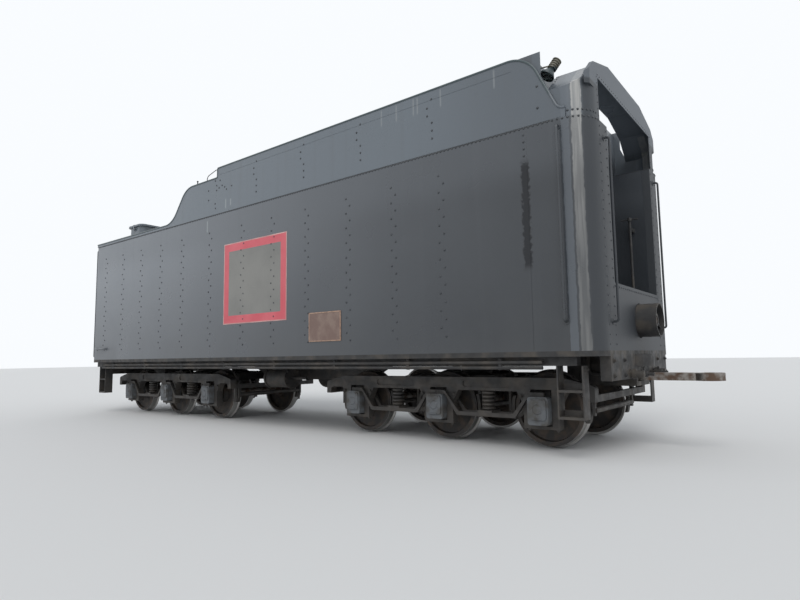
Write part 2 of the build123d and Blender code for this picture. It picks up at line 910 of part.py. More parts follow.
# Drawbar to the engine: a flat bar with an eye at each end, swinging on its own pin
drawbar_in = x_front - drawbar_pin_place
drawbar_out = x_front + drawbar_reach - drawbar_eye_radius
with BuildPart() as drawbar:
    with BuildSketch(Plane.XY.offset(drawbar_height - drawbar_thickness / 2)):
        for place in (drawbar_in, drawbar_out):
            with Locations((place, 0)):
                Circle(drawbar_eye_radius)
        with Locations(((drawbar_in + drawbar_out) / 2, 0)):
            Rectangle(drawbar_out - drawbar_in, 2 * drawbar_half_width)
        with Locations((drawbar_in, 0)):
            Circle(drawbar_pin_radius + pin_slack, mode=Mode.SUBTRACT)
        with Locations((drawbar_out, 0)):
            Circle(drawbar_pin_radius, mode=Mode.SUBTRACT)
    extrude(amount=drawbar_thickness)
save(drawbar.part, "drawbar")

# Coupler: a shank on its draft pin and a head whose knuckle swings open on a pin.
# The head's outline is given forward of the coupler's horn, the knuckle's behind
# the coupling face.
coupler_face = x_rear - coupler_reach
horn = coupler_face + coupler_head_length
knuckle_pivot = (coupler_face + knuckle_pivot_back, -knuckle_pivot_side)
shank_pin_x = x_rear + shank_pin_place
head_outline = [
    (0, -125, 0),
    (0, 125, 20),
    (120, 190, 40),
    (330, 215, 60),
    (440, 190, 22),
    (440, 150, 16),
    (300, 105, 60),
    (215, 55, 40),
    (185, -20, 30),
    (185, -190, 0),
    (110, -205, 20),
]
knuckle_outline = [
    (290, -185, 18),
    (150, -198, 60),
    (50, -165, 45),
    (0, -110, 30),
    (0, 5, 18),
    (25, 32, 12),
    (55, 18, 14),
    (72, -45, 30),
    (150, -75, 40),
    (260, -75, 0),
]
with BuildPart() as coupler_body:
    bar((horn - shank_sink, shank_pin_x), (-shank_half_width, shank_half_width),
        (coupler_height - shank_half_height, coupler_height + shank_half_height))
    pin((shank_pin_x, 0, coupler_height), shank_half_width, 2 * shank_half_height)
    with BuildSketch(Plane.XY.offset(coupler_height - coupler_head_half_height)):
        with BuildLine():
            FilletPolyline(
                *((horn - forward, y) for forward, y, bend in head_outline),
                radius=[bend for forward, y, bend in head_outline],
                close=True,
            )
        make_face()
        with Locations(knuckle_pivot):
            Circle(lug_radius)
    extrude(amount=2 * coupler_head_half_height)
    lug_gap = knuckle_half_height + knuckle_clearance
    with BuildSketch(Plane.XY.offset(coupler_height - lug_gap)):
        with Locations(knuckle_pivot):
            Circle(knuckle_eye_radius + knuckle_clearance)
            Circle(lug_cut_radius)
    extrude(amount=2 * lug_gap, mode=Mode.SUBTRACT)
    pin((*knuckle_pivot, coupler_height), knuckle_pin_radius,
        2 * (coupler_head_half_height + knuckle_pin_stand))
    pin((shank_pin_x, 0, coupler_height), shank_pin_radius + pin_slack, 4 * shank_half_height,
        mode=Mode.SUBTRACT)
save(coupler_body.part, "coupler_body")

with BuildPart() as coupler_knuckle:
    with BuildSketch(Plane.XY.offset(coupler_height - knuckle_half_height)):
        with BuildLine():
            FilletPolyline(
                *((coupler_face + back, y) for back, y, bend in knuckle_outline),
                radius=[bend for back, y, bend in knuckle_outline],
                close=True,
            )
        make_face()
        with Locations(knuckle_pivot):
            Circle(knuckle_eye_radius)
            Circle(knuckle_pin_radius + pin_slack, mode=Mode.SUBTRACT)
    extrude(amount=2 * knuckle_half_height)
save(coupler_knuckle.part, "coupler_knuckle")

# Stoker trough: round-bottomed under the coal and a full tube beyond the gate. Its
# back wall and a three-armed spider near its mouth carry the conveyor screw.
trough_back = trough_place + trough_end_gap
trough_front = x_front + trough_reach
spider_x = trough_front - bearing_setback - bearing_length
journal_bore = screw_shaft_radius + pin_slack
with BuildPart() as stoker_trough:
    with BuildSketch(Plane.YZ.offset(trough_back)):
        with Locations((0, screw_axis)):
            Circle(trough_outer)
            Rectangle(2 * trough_outer, 2 * trough_outer, align=(Align.CENTER, Align.MIN), mode=Mode.SUBTRACT)
            Rectangle(2 * trough_outer, trough_lip, align=(Align.CENTER, Align.MIN))
            Circle(trough_bore, mode=Mode.SUBTRACT)
            Rectangle(2 * trough_bore, trough_lip, align=(Align.CENTER, Align.MIN), mode=Mode.SUBTRACT)
    extrude(amount=gate_x - trough_back)
    with BuildSketch(Plane.YZ.offset(gate_x)):
        with Locations((0, screw_axis)):
            Circle(trough_outer)
            Circle(trough_bore, mode=Mode.SUBTRACT)
    extrude(amount=trough_front - gate_x)
    bar((trough_back - trough_wall, trough_back), (-trough_outer, trough_outer),
        (screw_axis - trough_bore, screw_axis + trough_lip))
    pin((trough_back + bearing_length / 2, 0, screw_axis), bearing_radius, bearing_length, ALONG)
    bar((trough_back, trough_back + bearing_length), (-bearing_arm / 2, bearing_arm / 2),
        (screw_axis - trough_bore - trough_wall / 2, screw_axis))
    pin((spider_x + bearing_length / 2, 0, screw_axis), bearing_radius, bearing_length, ALONG)
    with BuildSketch(Plane(origin=(spider_x, 0, screw_axis), x_dir=(0, 1, 0), z_dir=(1, 0, 0))):
        with PolarLocations(0, bearing_arms, start_angle=90):
            Rectangle(trough_bore + trough_wall / 2, bearing_arm, align=(Align.MIN, Align.CENTER))
    extrude(amount=bearing_length)
    for bearing_x in (trough_back, spider_x):
        pin((bearing_x + bearing_length / 2, 0, screw_axis), journal_bore, bearing_length + 1, ALONG,
            Mode.SUBTRACT)
    for place in (trough_place + saddle_end, (trough_place + gate_x) / 2, gate_x - saddle_front):
        bar((place - saddle_half_depth, place + saddle_half_depth), (-saddle_half_width, saddle_half_width),
            (screw_axis - trough_room, screw_axis - trough_outer + saddle_half_depth))
        pin((place, 0, screw_axis), trough_bore, 2 * saddle_half_depth, ALONG, Mode.SUBTRACT)
save(stoker_trough.part, "stoker_trough")

# Conveyor screw: one blade wound round a shaft, made upright and then laid along the
# trough between its two bearings
shaft_start = trough_back + shaft_end_gap
shaft_length = spider_x + bearing_length - shaft_end_gap - shaft_start
flight_start = bearing_length + bearing_gap - shaft_end_gap
flight_length = spider_x - bearing_gap - shaft_start - flight_start
blade_width = screw_radius - screw_shaft_radius + screw_blade / 2
with BuildPart() as stoker_screw:
    Cylinder(screw_shaft_radius, shaft_length, align=(Align.CENTER, Align.CENTER, Align.MIN))
    with BuildLine(Plane.XY.offset(flight_start)) as winding:
        Helix(pitch=screw_pitch, height=flight_length, radius=screw_shaft_radius)
    with BuildSketch(Plane.XZ):
        with Locations((screw_radius - blade_width / 2, flight_start)):
            Rectangle(blade_width, screw_blade)
    sweep(path=winding.line, is_frenet=True)
save(stoker_screw.part.moved(Location((shaft_start, 0, screw_axis), ALONG)), "stoker_screw")

# Rear ladders: flat rails that turn in to the rear face, with round rungs between them
ladder_top = deck - ladder_top_drop
ladder_foot = tank_bottom + ladder_foot_rise
ladder_rails = tuple(half_width - inset for inset in ladder_insets)
ladder_x = x_rear - ladder_standoff
with BuildPart() as rear_ladders:
    for y in ladder_rails:
        with BuildSketch(Plane.XZ.offset(y - ladder_rail_width / 2)):
            with BuildLine() as stile:
                FilletPolyline(
                    (x_rear, ladder_top),
                    (ladder_x, ladder_top),
                    (ladder_x, ladder_foot),
                    (x_rear, ladder_foot),
                    radius=ladder_bend,
                )
            trace(stile.line, line_width=ladder_rail_thickness)
        extrude(amount=ladder_rail_width)
    rung_room = ladder_top - ladder_foot - rung_end - ladder_bend
    for rung in range(int(rung_room // rung_spacing) + 1):
        pin((ladder_x, -sum(ladder_rails) / 2, ladder_foot + rung_end + rung * rung_spacing),
            rung_radius, ladder_rails[1] - ladder_rails[0], ACROSS)
    mirror(about=Plane.XZ)
save(rear_ladders.part, "rear_ladders")

# Handrails: upright ones at the front corners and beside the gangway, short level
# ones over the rear steps
rail_y = half_width + rail_standoff
rail_x = x_front + rail_standoff
rail_foot = tank_bottom + rail_foot_rise
corner_rail_x = x_front - corner_rail_setback
corner_rail_top = deck - corner_rail_drop
leg_rail_y = gangway_half_width + leg_rail_inset
leg_rail_top = deck - leg_rail_drop
rear_rail = tuple(along(distance) for distance in rear_rail_span)
rear_rail_height = tank_bottom + rear_rail_rise
handrail_runs = [
    bent_rod(points, rail_radius, rail_bend)
    for points in (
        [(corner_rail_x, -half_width, corner_rail_top), (corner_rail_x, -rail_y, corner_rail_top),
         (corner_rail_x, -rail_y, rail_foot), (corner_rail_x, -half_width, rail_foot)],
        [(x_front, -leg_rail_y, leg_rail_top), (rail_x, -leg_rail_y, leg_rail_top),
         (rail_x, -leg_rail_y, rail_foot), (x_front, -leg_rail_y, rail_foot)],
        [(rear_rail[0], -half_width, rear_rail_height), (rear_rail[0], -rail_y, rear_rail_height),
         (rear_rail[1], -rail_y, rear_rail_height), (rear_rail[1], -half_width, rear_rail_height)],
    )
]
with BuildPart() as handrails:
    for run in handrail_runs:
        add(run)
    mirror(about=Plane.XZ)
save(handrails.part, "handrails")

# Steps under the four corners: two treads between flat hangers
step_y = (-half_width + step_insets[0], -half_width + step_insets[1])
step_foot = bed_bottom - step_drops[1]
step_spans = (
    span(x_front - front_step_span[0], x_front - front_step_span[1]),
    span(along(rear_step_span[0]), along(rear_step_span[1])),
)
with BuildPart() as sill_steps:
    for near, far in step_spans:
        for edge_x in (near, far - step_hanger):
            bar((edge_x, edge_x + step_hanger), step_y, (step_foot, bed_bottom))
        for drop in step_drops:
            height = bed_bottom - drop
            bar((near, far), step_y, (height, height + step_tread))
            bar((near, far), (step_y[1] - step_back, step_y[1]), (height, height + step_back_height))
    mirror(about=Plane.XZ)
save(sill_steps.part, "sill_steps")

# Backing lamp on the rear of the deck: a turned shell with a visor, on a post
lamp_x = x_rear + lamp_setback
lamp_height = deck + lamp_rise
with BuildPart() as backup_lamp:
    foot_length, foot_width, foot_thickness = lamp_foot
    with Locations((lamp_x, 0, deck)):
        Box(foot_length, foot_width, foot_thickness, align=(Align.CENTER, Align.CENTER, Align.MIN))
        Cylinder(lamp_post_radius, lamp_rise, align=(Align.CENTER, Align.CENTER, Align.MIN))
    with BuildSketch(Plane(origin=(lamp_x, 0, lamp_height), x_dir=(1, 0, 0), z_dir=(0, -1, 0))):
        with BuildLine():
            Polyline(
                (lamp_back, 0),
                (lamp_back, lamp_back_radius),
                (-lamp_shoulder, lamp_radius),
                (-lamp_mouth, lamp_radius),
                (-lamp_mouth - lamp_visor, lamp_visor_radius),
                (-lamp_mouth - lamp_visor, lamp_visor_radius - lamp_visor_thickness),
                (-lamp_mouth, lamp_glass_radius),
                (-lamp_well, lamp_glass_radius),
                (-lamp_well, 0),
                close=True,
            )
        make_face()
    revolve(axis=Axis((lamp_x, 0, lamp_height), (1, 0, 0)))
save(backup_lamp.part, "backup_lamp")

# Flood lamp over the right front corner: a bell and a finned housing turned about one
# axis, made upright with its mouth up, then aimed outward and down. Its arm is
# bolted inside the wing plate.
flood_neck = -flood_bell - flood_fin
with BuildPart() as flood_bell_form:
    with BuildSketch(Plane.XZ):
        with BuildLine():
            Polyline(
                (flood_mouth_radius - flood_shell, 0),
                (flood_mouth_radius, 0),
                (flood_mouth_radius, -flood_lip),
                (flood_neck_radius, -flood_bell),
                (flood_neck_radius, flood_neck),
                (0, flood_neck),
                (0, -flood_bell),
                (flood_neck_radius - flood_shell, -flood_bell),
                (flood_mouth_radius - 2 * flood_shell, -flood_lip),
                (flood_mouth_radius - flood_shell, -flood_lip),
                close=True,
            )
        make_face()
    revolve(axis=Axis.Z)
    with Locations((0, 0, flood_neck)):
        Cylinder(flood_knob_radius, flood_knob_length, align=(Align.CENTER, Align.CENTER, Align.MAX))
    fin_pitch = (flood_knob_length - flood_fin) / (flood_fins - 1)
    for fin in range(flood_fins):
        with Locations((0, 0, flood_neck - fin * fin_pitch)):
            Cylinder(flood_fin_radius, flood_fin, align=(Align.CENTER, Align.CENTER, Align.MAX))
flood_mouth = (
    hood_rear - flood_mouth_setback,
    -wing_inner + flood_mouth_inset,
    deck + hood_knee_rise - flood_mouth_drop,
)
flood_swing = Location((0, 0, 0), (0, 0, flood_turn)) * Location((0, 0, 0), (0, flood_tip, 0))
flood_aim = Location(flood_mouth) * flood_swing
flood_knob = (flood_aim * Location((0, 0, flood_neck - flood_knob_length / 2))).position
pad_length, pad_thickness, pad_height = flood_pad
pad_x = wing_front - flood_pad_setback
pad_y = -wing_inner + pad_thickness
pad_z = high_edge - flood_pad_drop
flood_arm = bent_rod([(pad_x, pad_y - flood_arm_radius, pad_z), tuple(flood_knob)], flood_arm_radius)
with BuildPart() as flood_lamp:
    add(flood_bell_form.part.moved(flood_aim))
    add(flood_arm)
    bar((pad_x - pad_length / 2, pad_x + pad_length / 2), (-wing_inner, pad_y),
        (pad_z - pad_height / 2, pad_z + pad_height / 2))
save(flood_lamp.part, "flood_lamp")

# Lenses of both lamps
with BuildPart() as flood_lens:
    with Locations((0, 0, -flood_lip)):
        Cylinder(flood_mouth_radius - flood_shell - lens_slack, flood_shell,
                 align=(Align.CENTER, Align.CENTER, Align.MIN))
with BuildPart() as lamp_lenses:
    pin((lamp_x - lamp_well - lens_thickness / 2, 0, lamp_height), lamp_glass_radius - lens_slack,
        lens_thickness, ALONG)
    add(flood_lens.part.moved(flood_aim))
save(lamp_lenses.part, "lamp_lenses")

# Uncoupling lever along the rear end sill
lever_x = x_rear - lever_stand
lever_height = bed_bottom + lever_rise
eye_y, eye_rise = lever_eye
bend_y, handle_y, handle_drop = lever_handle
lever_run = bent_rod(
    [(lever_x, -eye_y, coupler_height + eye_rise), (lever_x, -lever_crank, lever_height),
     (lever_x, -bend_y, lever_height), (lever_x, -handle_y, bed_bottom - handle_drop)],
    lever_radius,
    lever_bend,
)
bracket_half_width, bracket_half_height = lever_bracket_half
with BuildPart() as uncoupling_lever:
    add(lever_run)
    for y in lever_bracket_places:
        bar((lever_x - bracket_half_width, x_rear), (-y - bracket_half_width, -y + bracket_half_width),
            (lever_height - bracket_half_height, lever_height + bracket_half_height))
save(uncoupling_lever.part, "uncoupling_lever")

# Buffer casting over the drawbar, with its rounded chafing face
buffer_half = drawbar_box_half - buffer_taper
with BuildPart() as front_buffer:
    with BuildSketch(Plane.XY.offset(drawbar_height + buffer_rise)):
        with BuildLine():
            Polyline((x_front, drawbar_box_half), (x_front, -drawbar_box_half),
                     (x_front + buffer_side_reach, -buffer_half))
            ThreePointArc((x_front + buffer_side_reach, -buffer_half), (x_front + buffer_reach, 0),
                          (x_front + buffer_side_reach, buffer_half))
            Line((x_front + buffer_side_reach, buffer_half), (x_front, drawbar_box_half))
        make_face()
    extrude(amount=buffer_height)
save(front_buffer.part, "front_buffer")

# Hand brake: a wheel on a staff against the left water leg
staff = (x_front - staff_setback, gangway_half_width - staff_inset)
brake_wheel_height = gangway_floor + staff_height
bracket_half, bracket_low, bracket_height = staff_bracket
with BuildPart() as hand_brake:
    with Locations((*staff, gangway_floor)):
        Cylinder(staff_radius, staff_height, align=(Align.CENTER, Align.CENTER, Align.MIN))
        Cylinder(staff_foot_radius, staff_foot, align=(Align.CENTER, Align.CENTER, Align.MIN))
    bar((staff[0] - bracket_half, staff[0] + bracket_half), (staff[1], gangway_half_width),
        (brake_wheel_height - bracket_low - bracket_height, brake_wheel_height - bracket_low))
    with Locations((*staff, brake_wheel_height)):
        Torus(brake_wheel_radius, brake_rim_radius)
        Cylinder(brake_hub_radius, brake_hub_length)
    for spoke in range(brake_spokes):
        with Locations(Location((*staff, brake_wheel_height), (0, 90, spoke * 180 / brake_spokes))):
            Cylinder(brake_spoke_radius, 2 * brake_wheel_radius)
save(hand_brake.part, "hand_brake")

# Brake cylinder and air reservoir, hung under the bed between the trucks
cylinder_height = bed_bottom - cylinder_drop
cylinder_half = cylinder_length / 2
cylinder_front = cylinder_place + cylinder_half
bracket_half_length, bracket_half_width = cylinder_bracket_half
with BuildPart() as brake_cylinder:
    pin((cylinder_place, -cylinder_side, cylinder_height), cylinder_radius, cylinder_length, ALONG)
    for hand in (-1, 1):
        pin((cylinder_place + hand * (cylinder_half + cylinder_flange / 3), -cylinder_side, cylinder_height),
            cylinder_flange_radius, cylinder_flange, ALONG)
    pin((cylinder_front + cylinder_rod_length / 2, -cylinder_side, cylinder_height), cylinder_rod_radius,
        cylinder_rod_length, ALONG)
    bar((cylinder_place - bracket_half_length, cylinder_place + bracket_half_length),
        (-cylinder_side - bracket_half_width, -cylinder_side + bracket_half_width),
        (cylinder_height, bed_top))
save(brake_cylinder.part, "brake_cylinder")

reservoir_height = bed_bottom - reservoir_drop
reservoir_half = reservoir_length / 2
with BuildPart() as air_reservoir:
    with BuildSketch(Plane.XZ.offset(-reservoir_side)):
        with BuildLine():
            shell = FilletPolyline(
                (-reservoir_half, reservoir_height),
                (-reservoir_half, reservoir_height + reservoir_radius),
                (reservoir_half, reservoir_height + reservoir_radius),
                (reservoir_half, reservoir_height),
                radius=reservoir_round,
            )
            Line(shell @ 1, shell @ 0)
        make_face()
    revolve(axis=Axis((0, reservoir_side, reservoir_height), (1, 0, 0)))
    for hand in (-1, 1):
        strap = hand * (reservoir_half - reservoir_strap_inset)
        bar(span(strap, strap - hand * reservoir_strap),
            (reservoir_side - reservoir_strap, reservoir_side + reservoir_strap),
            (reservoir_height + reservoir_radius - reservoir_strap_sink, bed_top))
save(air_reservoir.part, "air_reservoir")

# Pipes along both sides under the tank's edge, held by clips on the bed
pipe_y = half_width - side_pipe_inset
pipe_ends = (along(side_pipe_rear), x_front - side_pipe_front)
clip_half_length, clip_half_width = pipe_clip_half
first_clip = pipe_ends[0] + pipe_clip_inset
last_clip = pipe_ends[1] - pipe_clip_inset
with BuildPart() as side_pipes:
    for drop, radius in zip(side_pipe_drops, side_pipe_radii):
        pin((sum(pipe_ends) / 2, -pipe_y, bed_top - drop), radius, pipe_ends[1] - pipe_ends[0], ALONG)
    for clip in range(pipe_clips):
        place = first_clip + (last_clip - first_clip) * clip / (pipe_clips - 1)
        bar((place - clip_half_length, place + clip_half_length),
            (-pipe_y - clip_half_width, -pipe_y + clip_half_width), (bed_top - pipe_clip_drop, bed_top))
    mirror(about=Plane.XZ)
save(side_pipes.part, "side_pipes")

# Air pipe ends with their angle cocks, at both ends of the tender
air_pipe_runs = [
    bent_rod(
        [(end - inward * air_pipe_setback, y, bed_top), (end - inward * air_pipe_setback, y, pipe_height),
         (end + inward * cock_place, y, pipe_height)],
        air_pipe_radius,
        air_pipe_bend,
    )
    for end, inward, y in air_pipe_places
]
with BuildPart() as air_pipe_ends:
    for run in air_pipe_runs:
        add(run)
    for end, inward, y in air_pipe_places:
        cock_x = end + inward * cock_place
        nipple_x = cock_x + inward * (cock_length + nipple_length) / 2
        pin((cock_x, y, pipe_height), cock_radius, cock_length, ALONG)
        pin((nipple_x, y, pipe_height), nipple_radius, nipple_length, ALONG)
        bar((cock_x - cock_handle_half, cock_x + cock_handle_half),
            (y - cock_handle_half, y + cock_handle_half), (pipe_height, pipe_height + cock_handle_height))
save(air_pipe_ends.part, "air_pipe_ends")

# Water outlets: strainer pots under the front corners, each with a hose nozzle
collar_x = x_front + outlet_collar_place
nozzle_x = collar_x + (outlet_collar_length + nozzle_length) / 2
pot_x = x_front - pot_setback
pot_foot = bed_bottom - pot_drop
with BuildPart() as water_outlets:
    for side in (-1, 1):
        y = side * outlet_side
        pin((pot_x, y, (bed_top + pot_foot) / 2), pot_radius, bed_top - pot_foot)
        pin(((pot_x + collar_x) / 2, y, outlet_height), outlet_radius, collar_x - pot_x, ALONG)
        pin((collar_x, y, outlet_height), outlet_collar_radius, outlet_collar_length, ALONG)
        pin((nozzle_x, y, outlet_height), nozzle_radius, nozzle_length, ALONG)
save(water_outlets.part, "water_outlets")

# Six-wheel truck, modelled about its own centre and then set under each end. Its
# frame is one casting: side rails with three pedestals each, transoms, stringers,
# a bolster that deepens towards the centre plate, and end bars.
jaw = box_width / 2 + box_slack
pedestal_foot = axle_height - box_height / 2 - pedestal_room
pedestal_shoulder_z = frame_rail_bottom - pedestal_shoulder_drop
slot_top = frame_rail_bottom + pedestal_slot_rise
stringer_top = transom_top + transom_pad
horn_foot = frame_rail_bottom - frame_horn_drop
rail_outline = [
    (-frame_half_length, horn_foot, 0),
    (-frame_half_length, frame_rail_top - frame_end_fall, frame_round),
    (-frame_half_length + frame_end_slope, frame_rail_top, 2 * frame_round),
    (frame_half_length - frame_end_slope, frame_rail_top, 2 * frame_round),
    (frame_half_length, frame_rail_top - frame_end_fall, frame_round),
    (frame_half_length, horn_foot, 0),
    (frame_half_length - frame_horn, horn_foot, 0),
    (frame_half_length - frame_horn, frame_rail_bottom, frame_round),
    (-frame_half_length + frame_horn, frame_rail_bottom, frame_round),
    (-frame_half_length + frame_horn, horn_foot, 0),
]
pedestal_outline = [
    (-jaw - pedestal_shoulder, frame_rail_bottom, 0),
    (jaw + pedestal_shoulder, frame_rail_bottom, 0),
    (jaw + pedestal_leg, pedestal_shoulder_z, pedestal_round),
    (jaw + pedestal_leg, pedestal_foot - pedestal_tie, 0),
    (-jaw - pedestal_leg, pedestal_foot - pedestal_tie, 0),
    (-jaw - pedestal_leg, pedestal_shoulder_z, pedestal_round),
]
with BuildPart() as truck_frame:
    with BuildSketch(Plane.XZ.offset(frame_inner)):
        with BuildLine():
            FilletPolyline(
                *((x, z) for x, z, bend in rail_outline),
                radius=[bend for x, z, bend in rail_outline],
                close=True,
            )
        make_face()
        for place in axle_places:
            with BuildLine():
                FilletPolyline(
                    *((place + x, z) for x, z, bend in pedestal_outline),
                    radius=[bend for x, z, bend in pedestal_outline],
                    close=True,
                )
            make_face()
            with Locations((place, (pedestal_foot + slot_top) / 2)):
                Rectangle(2 * jaw, slot_top - pedestal_foot, mode=Mode.SUBTRACT)
    extrude(amount=frame_thickness)
    with BuildSketch(Plane.XZ.offset(frame_inner + frame_thickness - pocket_depth)):
        for hand in (-1, 1):
            with Locations((hand * axle_spacing / 2, frame_rail_bottom + frame_rail_depth / 2)):
                RectangleRounded(pocket_length, pocket_height, pocket_corner)
    extrude(amount=pocket_depth, mode=Mode.SUBTRACT)
    mirror(about=Plane.XZ)
    inner_span = (-frame_inner, frame_inner)
    for side in (-1, 1):
        middle = side * axle_spacing / 2
        bar((middle - transom_width / 2, middle + transom_width / 2), inner_span,
            (frame_rail_bottom, transom_top))
        bar(span(side * (frame_half_length - end_bar_width), side * frame_half_length), inner_span,
            (horn_foot, horn_foot + end_bar_depth))
        for place, width in zip(stringer_places, stringer_widths):
            bar((-axle_spacing / 2, axle_spacing / 2),
                span(side * (place - width / 2), side * (place + width / 2)),
                (frame_rail_bottom, stringer_top))
        bearing_top = bed_bottom - body_bearing_depth - side_bearing_gap
        pin((0, side * stringer_places[1], (stringer_top + bearing_top) / 2), side_bearing_radius,
            bearing_top - stringer_top)
    with BuildSketch(Plane.YZ):
        with BuildLine():
            Polyline(
                (-stringer_places[1], stringer_top),
                (stringer_places[1], stringer_top),
                (stringer_places[1], stringer_top - bolster_end_depth),
                (stringer_places[0], frame_rail_bottom),
                (-stringer_places[0], frame_rail_bottom),
                (-stringer_places[1], stringer_top - bolster_end_depth),
                close=True,
            )
        make_face()
    extrude(amount=bolster_half_length, both=True)
    bowl_foot = frame_rail_bottom + centre_bowl_foot
    pin((0, 0, (bowl_foot + centre_plate_top) / 2), centre_plate_radius + centre_bowl_wall,
        centre_plate_top - bowl_foot)
    pin((0, 0, centre_plate_top), centre_pin_radius + centre_pin_slack,
        4 * centre_pin_depth, mode=Mode.SUBTRACT)

# Journal boxes: six castings in the pedestal jaws, open behind for the journals, each
# with a lid that hangs from a hinge along its top
box_seats = [(place, axle_height) for place in axle_places]
lid_seats = [(place, axle_height + box_lid_shift) for place in axle_places]
box_hinge_height = axle_height + box_lid_shift + box_lid_height / 2
with BuildPart() as journal_boxes:
    with BuildSketch(Plane.XZ.offset(box_inner)):
        with Locations(*box_seats):
            RectangleRounded(box_width, box_height, box_corner)
    extrude(amount=box_outer - box_inner)
    with BuildSketch(Plane.XZ.offset(box_outer)):
        with Locations(*lid_seats):
            RectangleRounded(box_lid_width, box_lid_height, box_lid_corner)
    extrude(amount=box_lid_thickness)
    for place in axle_places:
        pin((place, -box_outer - box_lid_thickness / 2, box_hinge_height - box_hinge_radius),
            box_hinge_radius, box_hinge_length, ALONG)
    with BuildSketch(Plane.XZ.offset(box_inner)):
        with Locations(*box_seats):
            Circle(box_bore)
    extrude(amount=journal_end + box_end_play - box_inner, mode=Mode.SUBTRACT)
    mirror(about=Plane.XZ)

# Equalizers from box to box on both faces of the frame, with the coil springs that
# they carry under the frame's top rail
box_top = axle_height + box_height / 2
equalizer_crest = box_top + equalizer_depth
equalizer_low = axle_height - equalizer_drop
equalizer_top = equalizer_low + equalizer_depth
saddle_top = equalizer_top + saddle_thickness
far_run = axle_spacing - equalizer_run
equalizer_outline = [
    (box_slack, box_top, 0),
    (box_slack, equalizer_crest, 0),
    (equalizer_seat, equalizer_crest, equalizer_bend),
    (equalizer_run + equalizer_depth / 2, equalizer_top, equalizer_bend),
    (far_run - equalizer_depth / 2, equalizer_top, equalizer_bend),
    (axle_spacing - equalizer_seat, equalizer_crest, equalizer_bend),
    (axle_spacing + equalizer_end, equalizer_crest, 0),
    (axle_spacing + equalizer_end, box_top, 0),
    (axle_spacing - equalizer_seat, box_top, equalizer_bend),
    (far_run, equalizer_low, equalizer_bend),
    (equalizer_run, equalizer_low, equalizer_bend),
    (equalizer_seat, box_top, equalizer_bend),
]
spring_pitch = (frame_rail_bottom - saddle_top) / spring_turns
coil_outline = [(0, saddle_top)]
for turn in range(spring_turns):
    coil_outline.append((spring_core_radius, saddle_top + spring_pitch * turn))
    for share in spring_crown:
        coil_outline.append((spring_radius, saddle_top + spring_pitch * (turn + share)))
coil_outline += [(spring_core_radius, frame_rail_bottom), (0, frame_rail_bottom)]
with BuildPart() as equalizers:
    for hand in (-1, 1):
        for offset_y in (-equalizer_offset, equalizer_offset):
            with BuildSketch(Plane.XZ.offset(frame_middle + offset_y - equalizer_thickness / 2)):
                with BuildLine():
                    FilletPolyline(
                        *((hand * x, z) for x, z, bend in equalizer_outline),
                        radius=[bend for x, z, bend in equalizer_outline],
                        close=True,
                    )
                make_face()
            extrude(amount=equalizer_thickness)
        middle = hand * axle_spacing / 2
        reach = equalizer_offset + equalizer_thickness / 2
        bar((middle - saddle_half_length, middle + saddle_half_length),
            (-frame_middle - reach, -frame_middle + reach), (equalizer_top, saddle_top))
        with BuildSketch(Plane(origin=(middle, -frame_middle, 0), x_dir=(1, 0, 0), z_dir=(0, -1, 0))):
            with BuildLine():
                Polyline(*coil_outline, close=True)
            make_face()
        revolve(axis=Axis((middle, -frame_middle, 0), (0, 0, 1)))
    mirror(about=Plane.XZ)

# Brakes: a shoe on each side of every wheel, hung in pairs on cross beams
shoe_inner = tread_radius + shoe_gap
shoe_outer = shoe_inner + shoe_thickness
beam_reach = shoe_outer + brake_beam_radius - brake_beam_sink
shoe_y = half_wheel_back + shoe_inset
hanger_y = (-shoe_y - hanger_width / 2, -shoe_y + hanger_width / 2)
with BuildPart() as brakes:
    for place in axle_places:
        for hand in (-1, 1):
            with BuildSketch(Plane.XZ.offset(shoe_y - shoe_width / 2)):
                with Locations((place, axle_height)):
                    Circle(shoe_outer)
                    Circle(shoe_inner, mode=Mode.SUBTRACT)
                with Locations((place + hand * shoe_outer, axle_height)):
                    Rectangle(shoe_outer, 2 * shoe_half_height, mode=Mode.INTERSECT)
            extrude(amount=shoe_width)
            beam_x = place + hand * beam_reach
            bar((beam_x - hanger_thickness / 2, beam_x + hanger_thickness / 2), hanger_y,
                (axle_height - hanger_foot, frame_rail_bottom + hanger_head))
            if abs(beam_x) > axle_spacing:
                face = frame_half_length - end_bar_width
                heights = (horn_foot, horn_foot + end_bar_depth)
            else:
                outward = 1 if abs(beam_x) > axle_spacing / 2 else -1
                face = axle_spacing / 2 + outward * transom_width / 2
                heights = (frame_rail_bottom, frame_rail_bottom + hanger_head)
            bar(span(beam_x, math.copysign(face, beam_x)), hanger_y, heights)
    mirror(about=Plane.XZ)
    for place in axle_places:
        for hand in (-1, 1):
            pin((place + hand * beam_reach, 0, axle_height), brake_beam_radius, 2 * shoe_y, ACROSS)

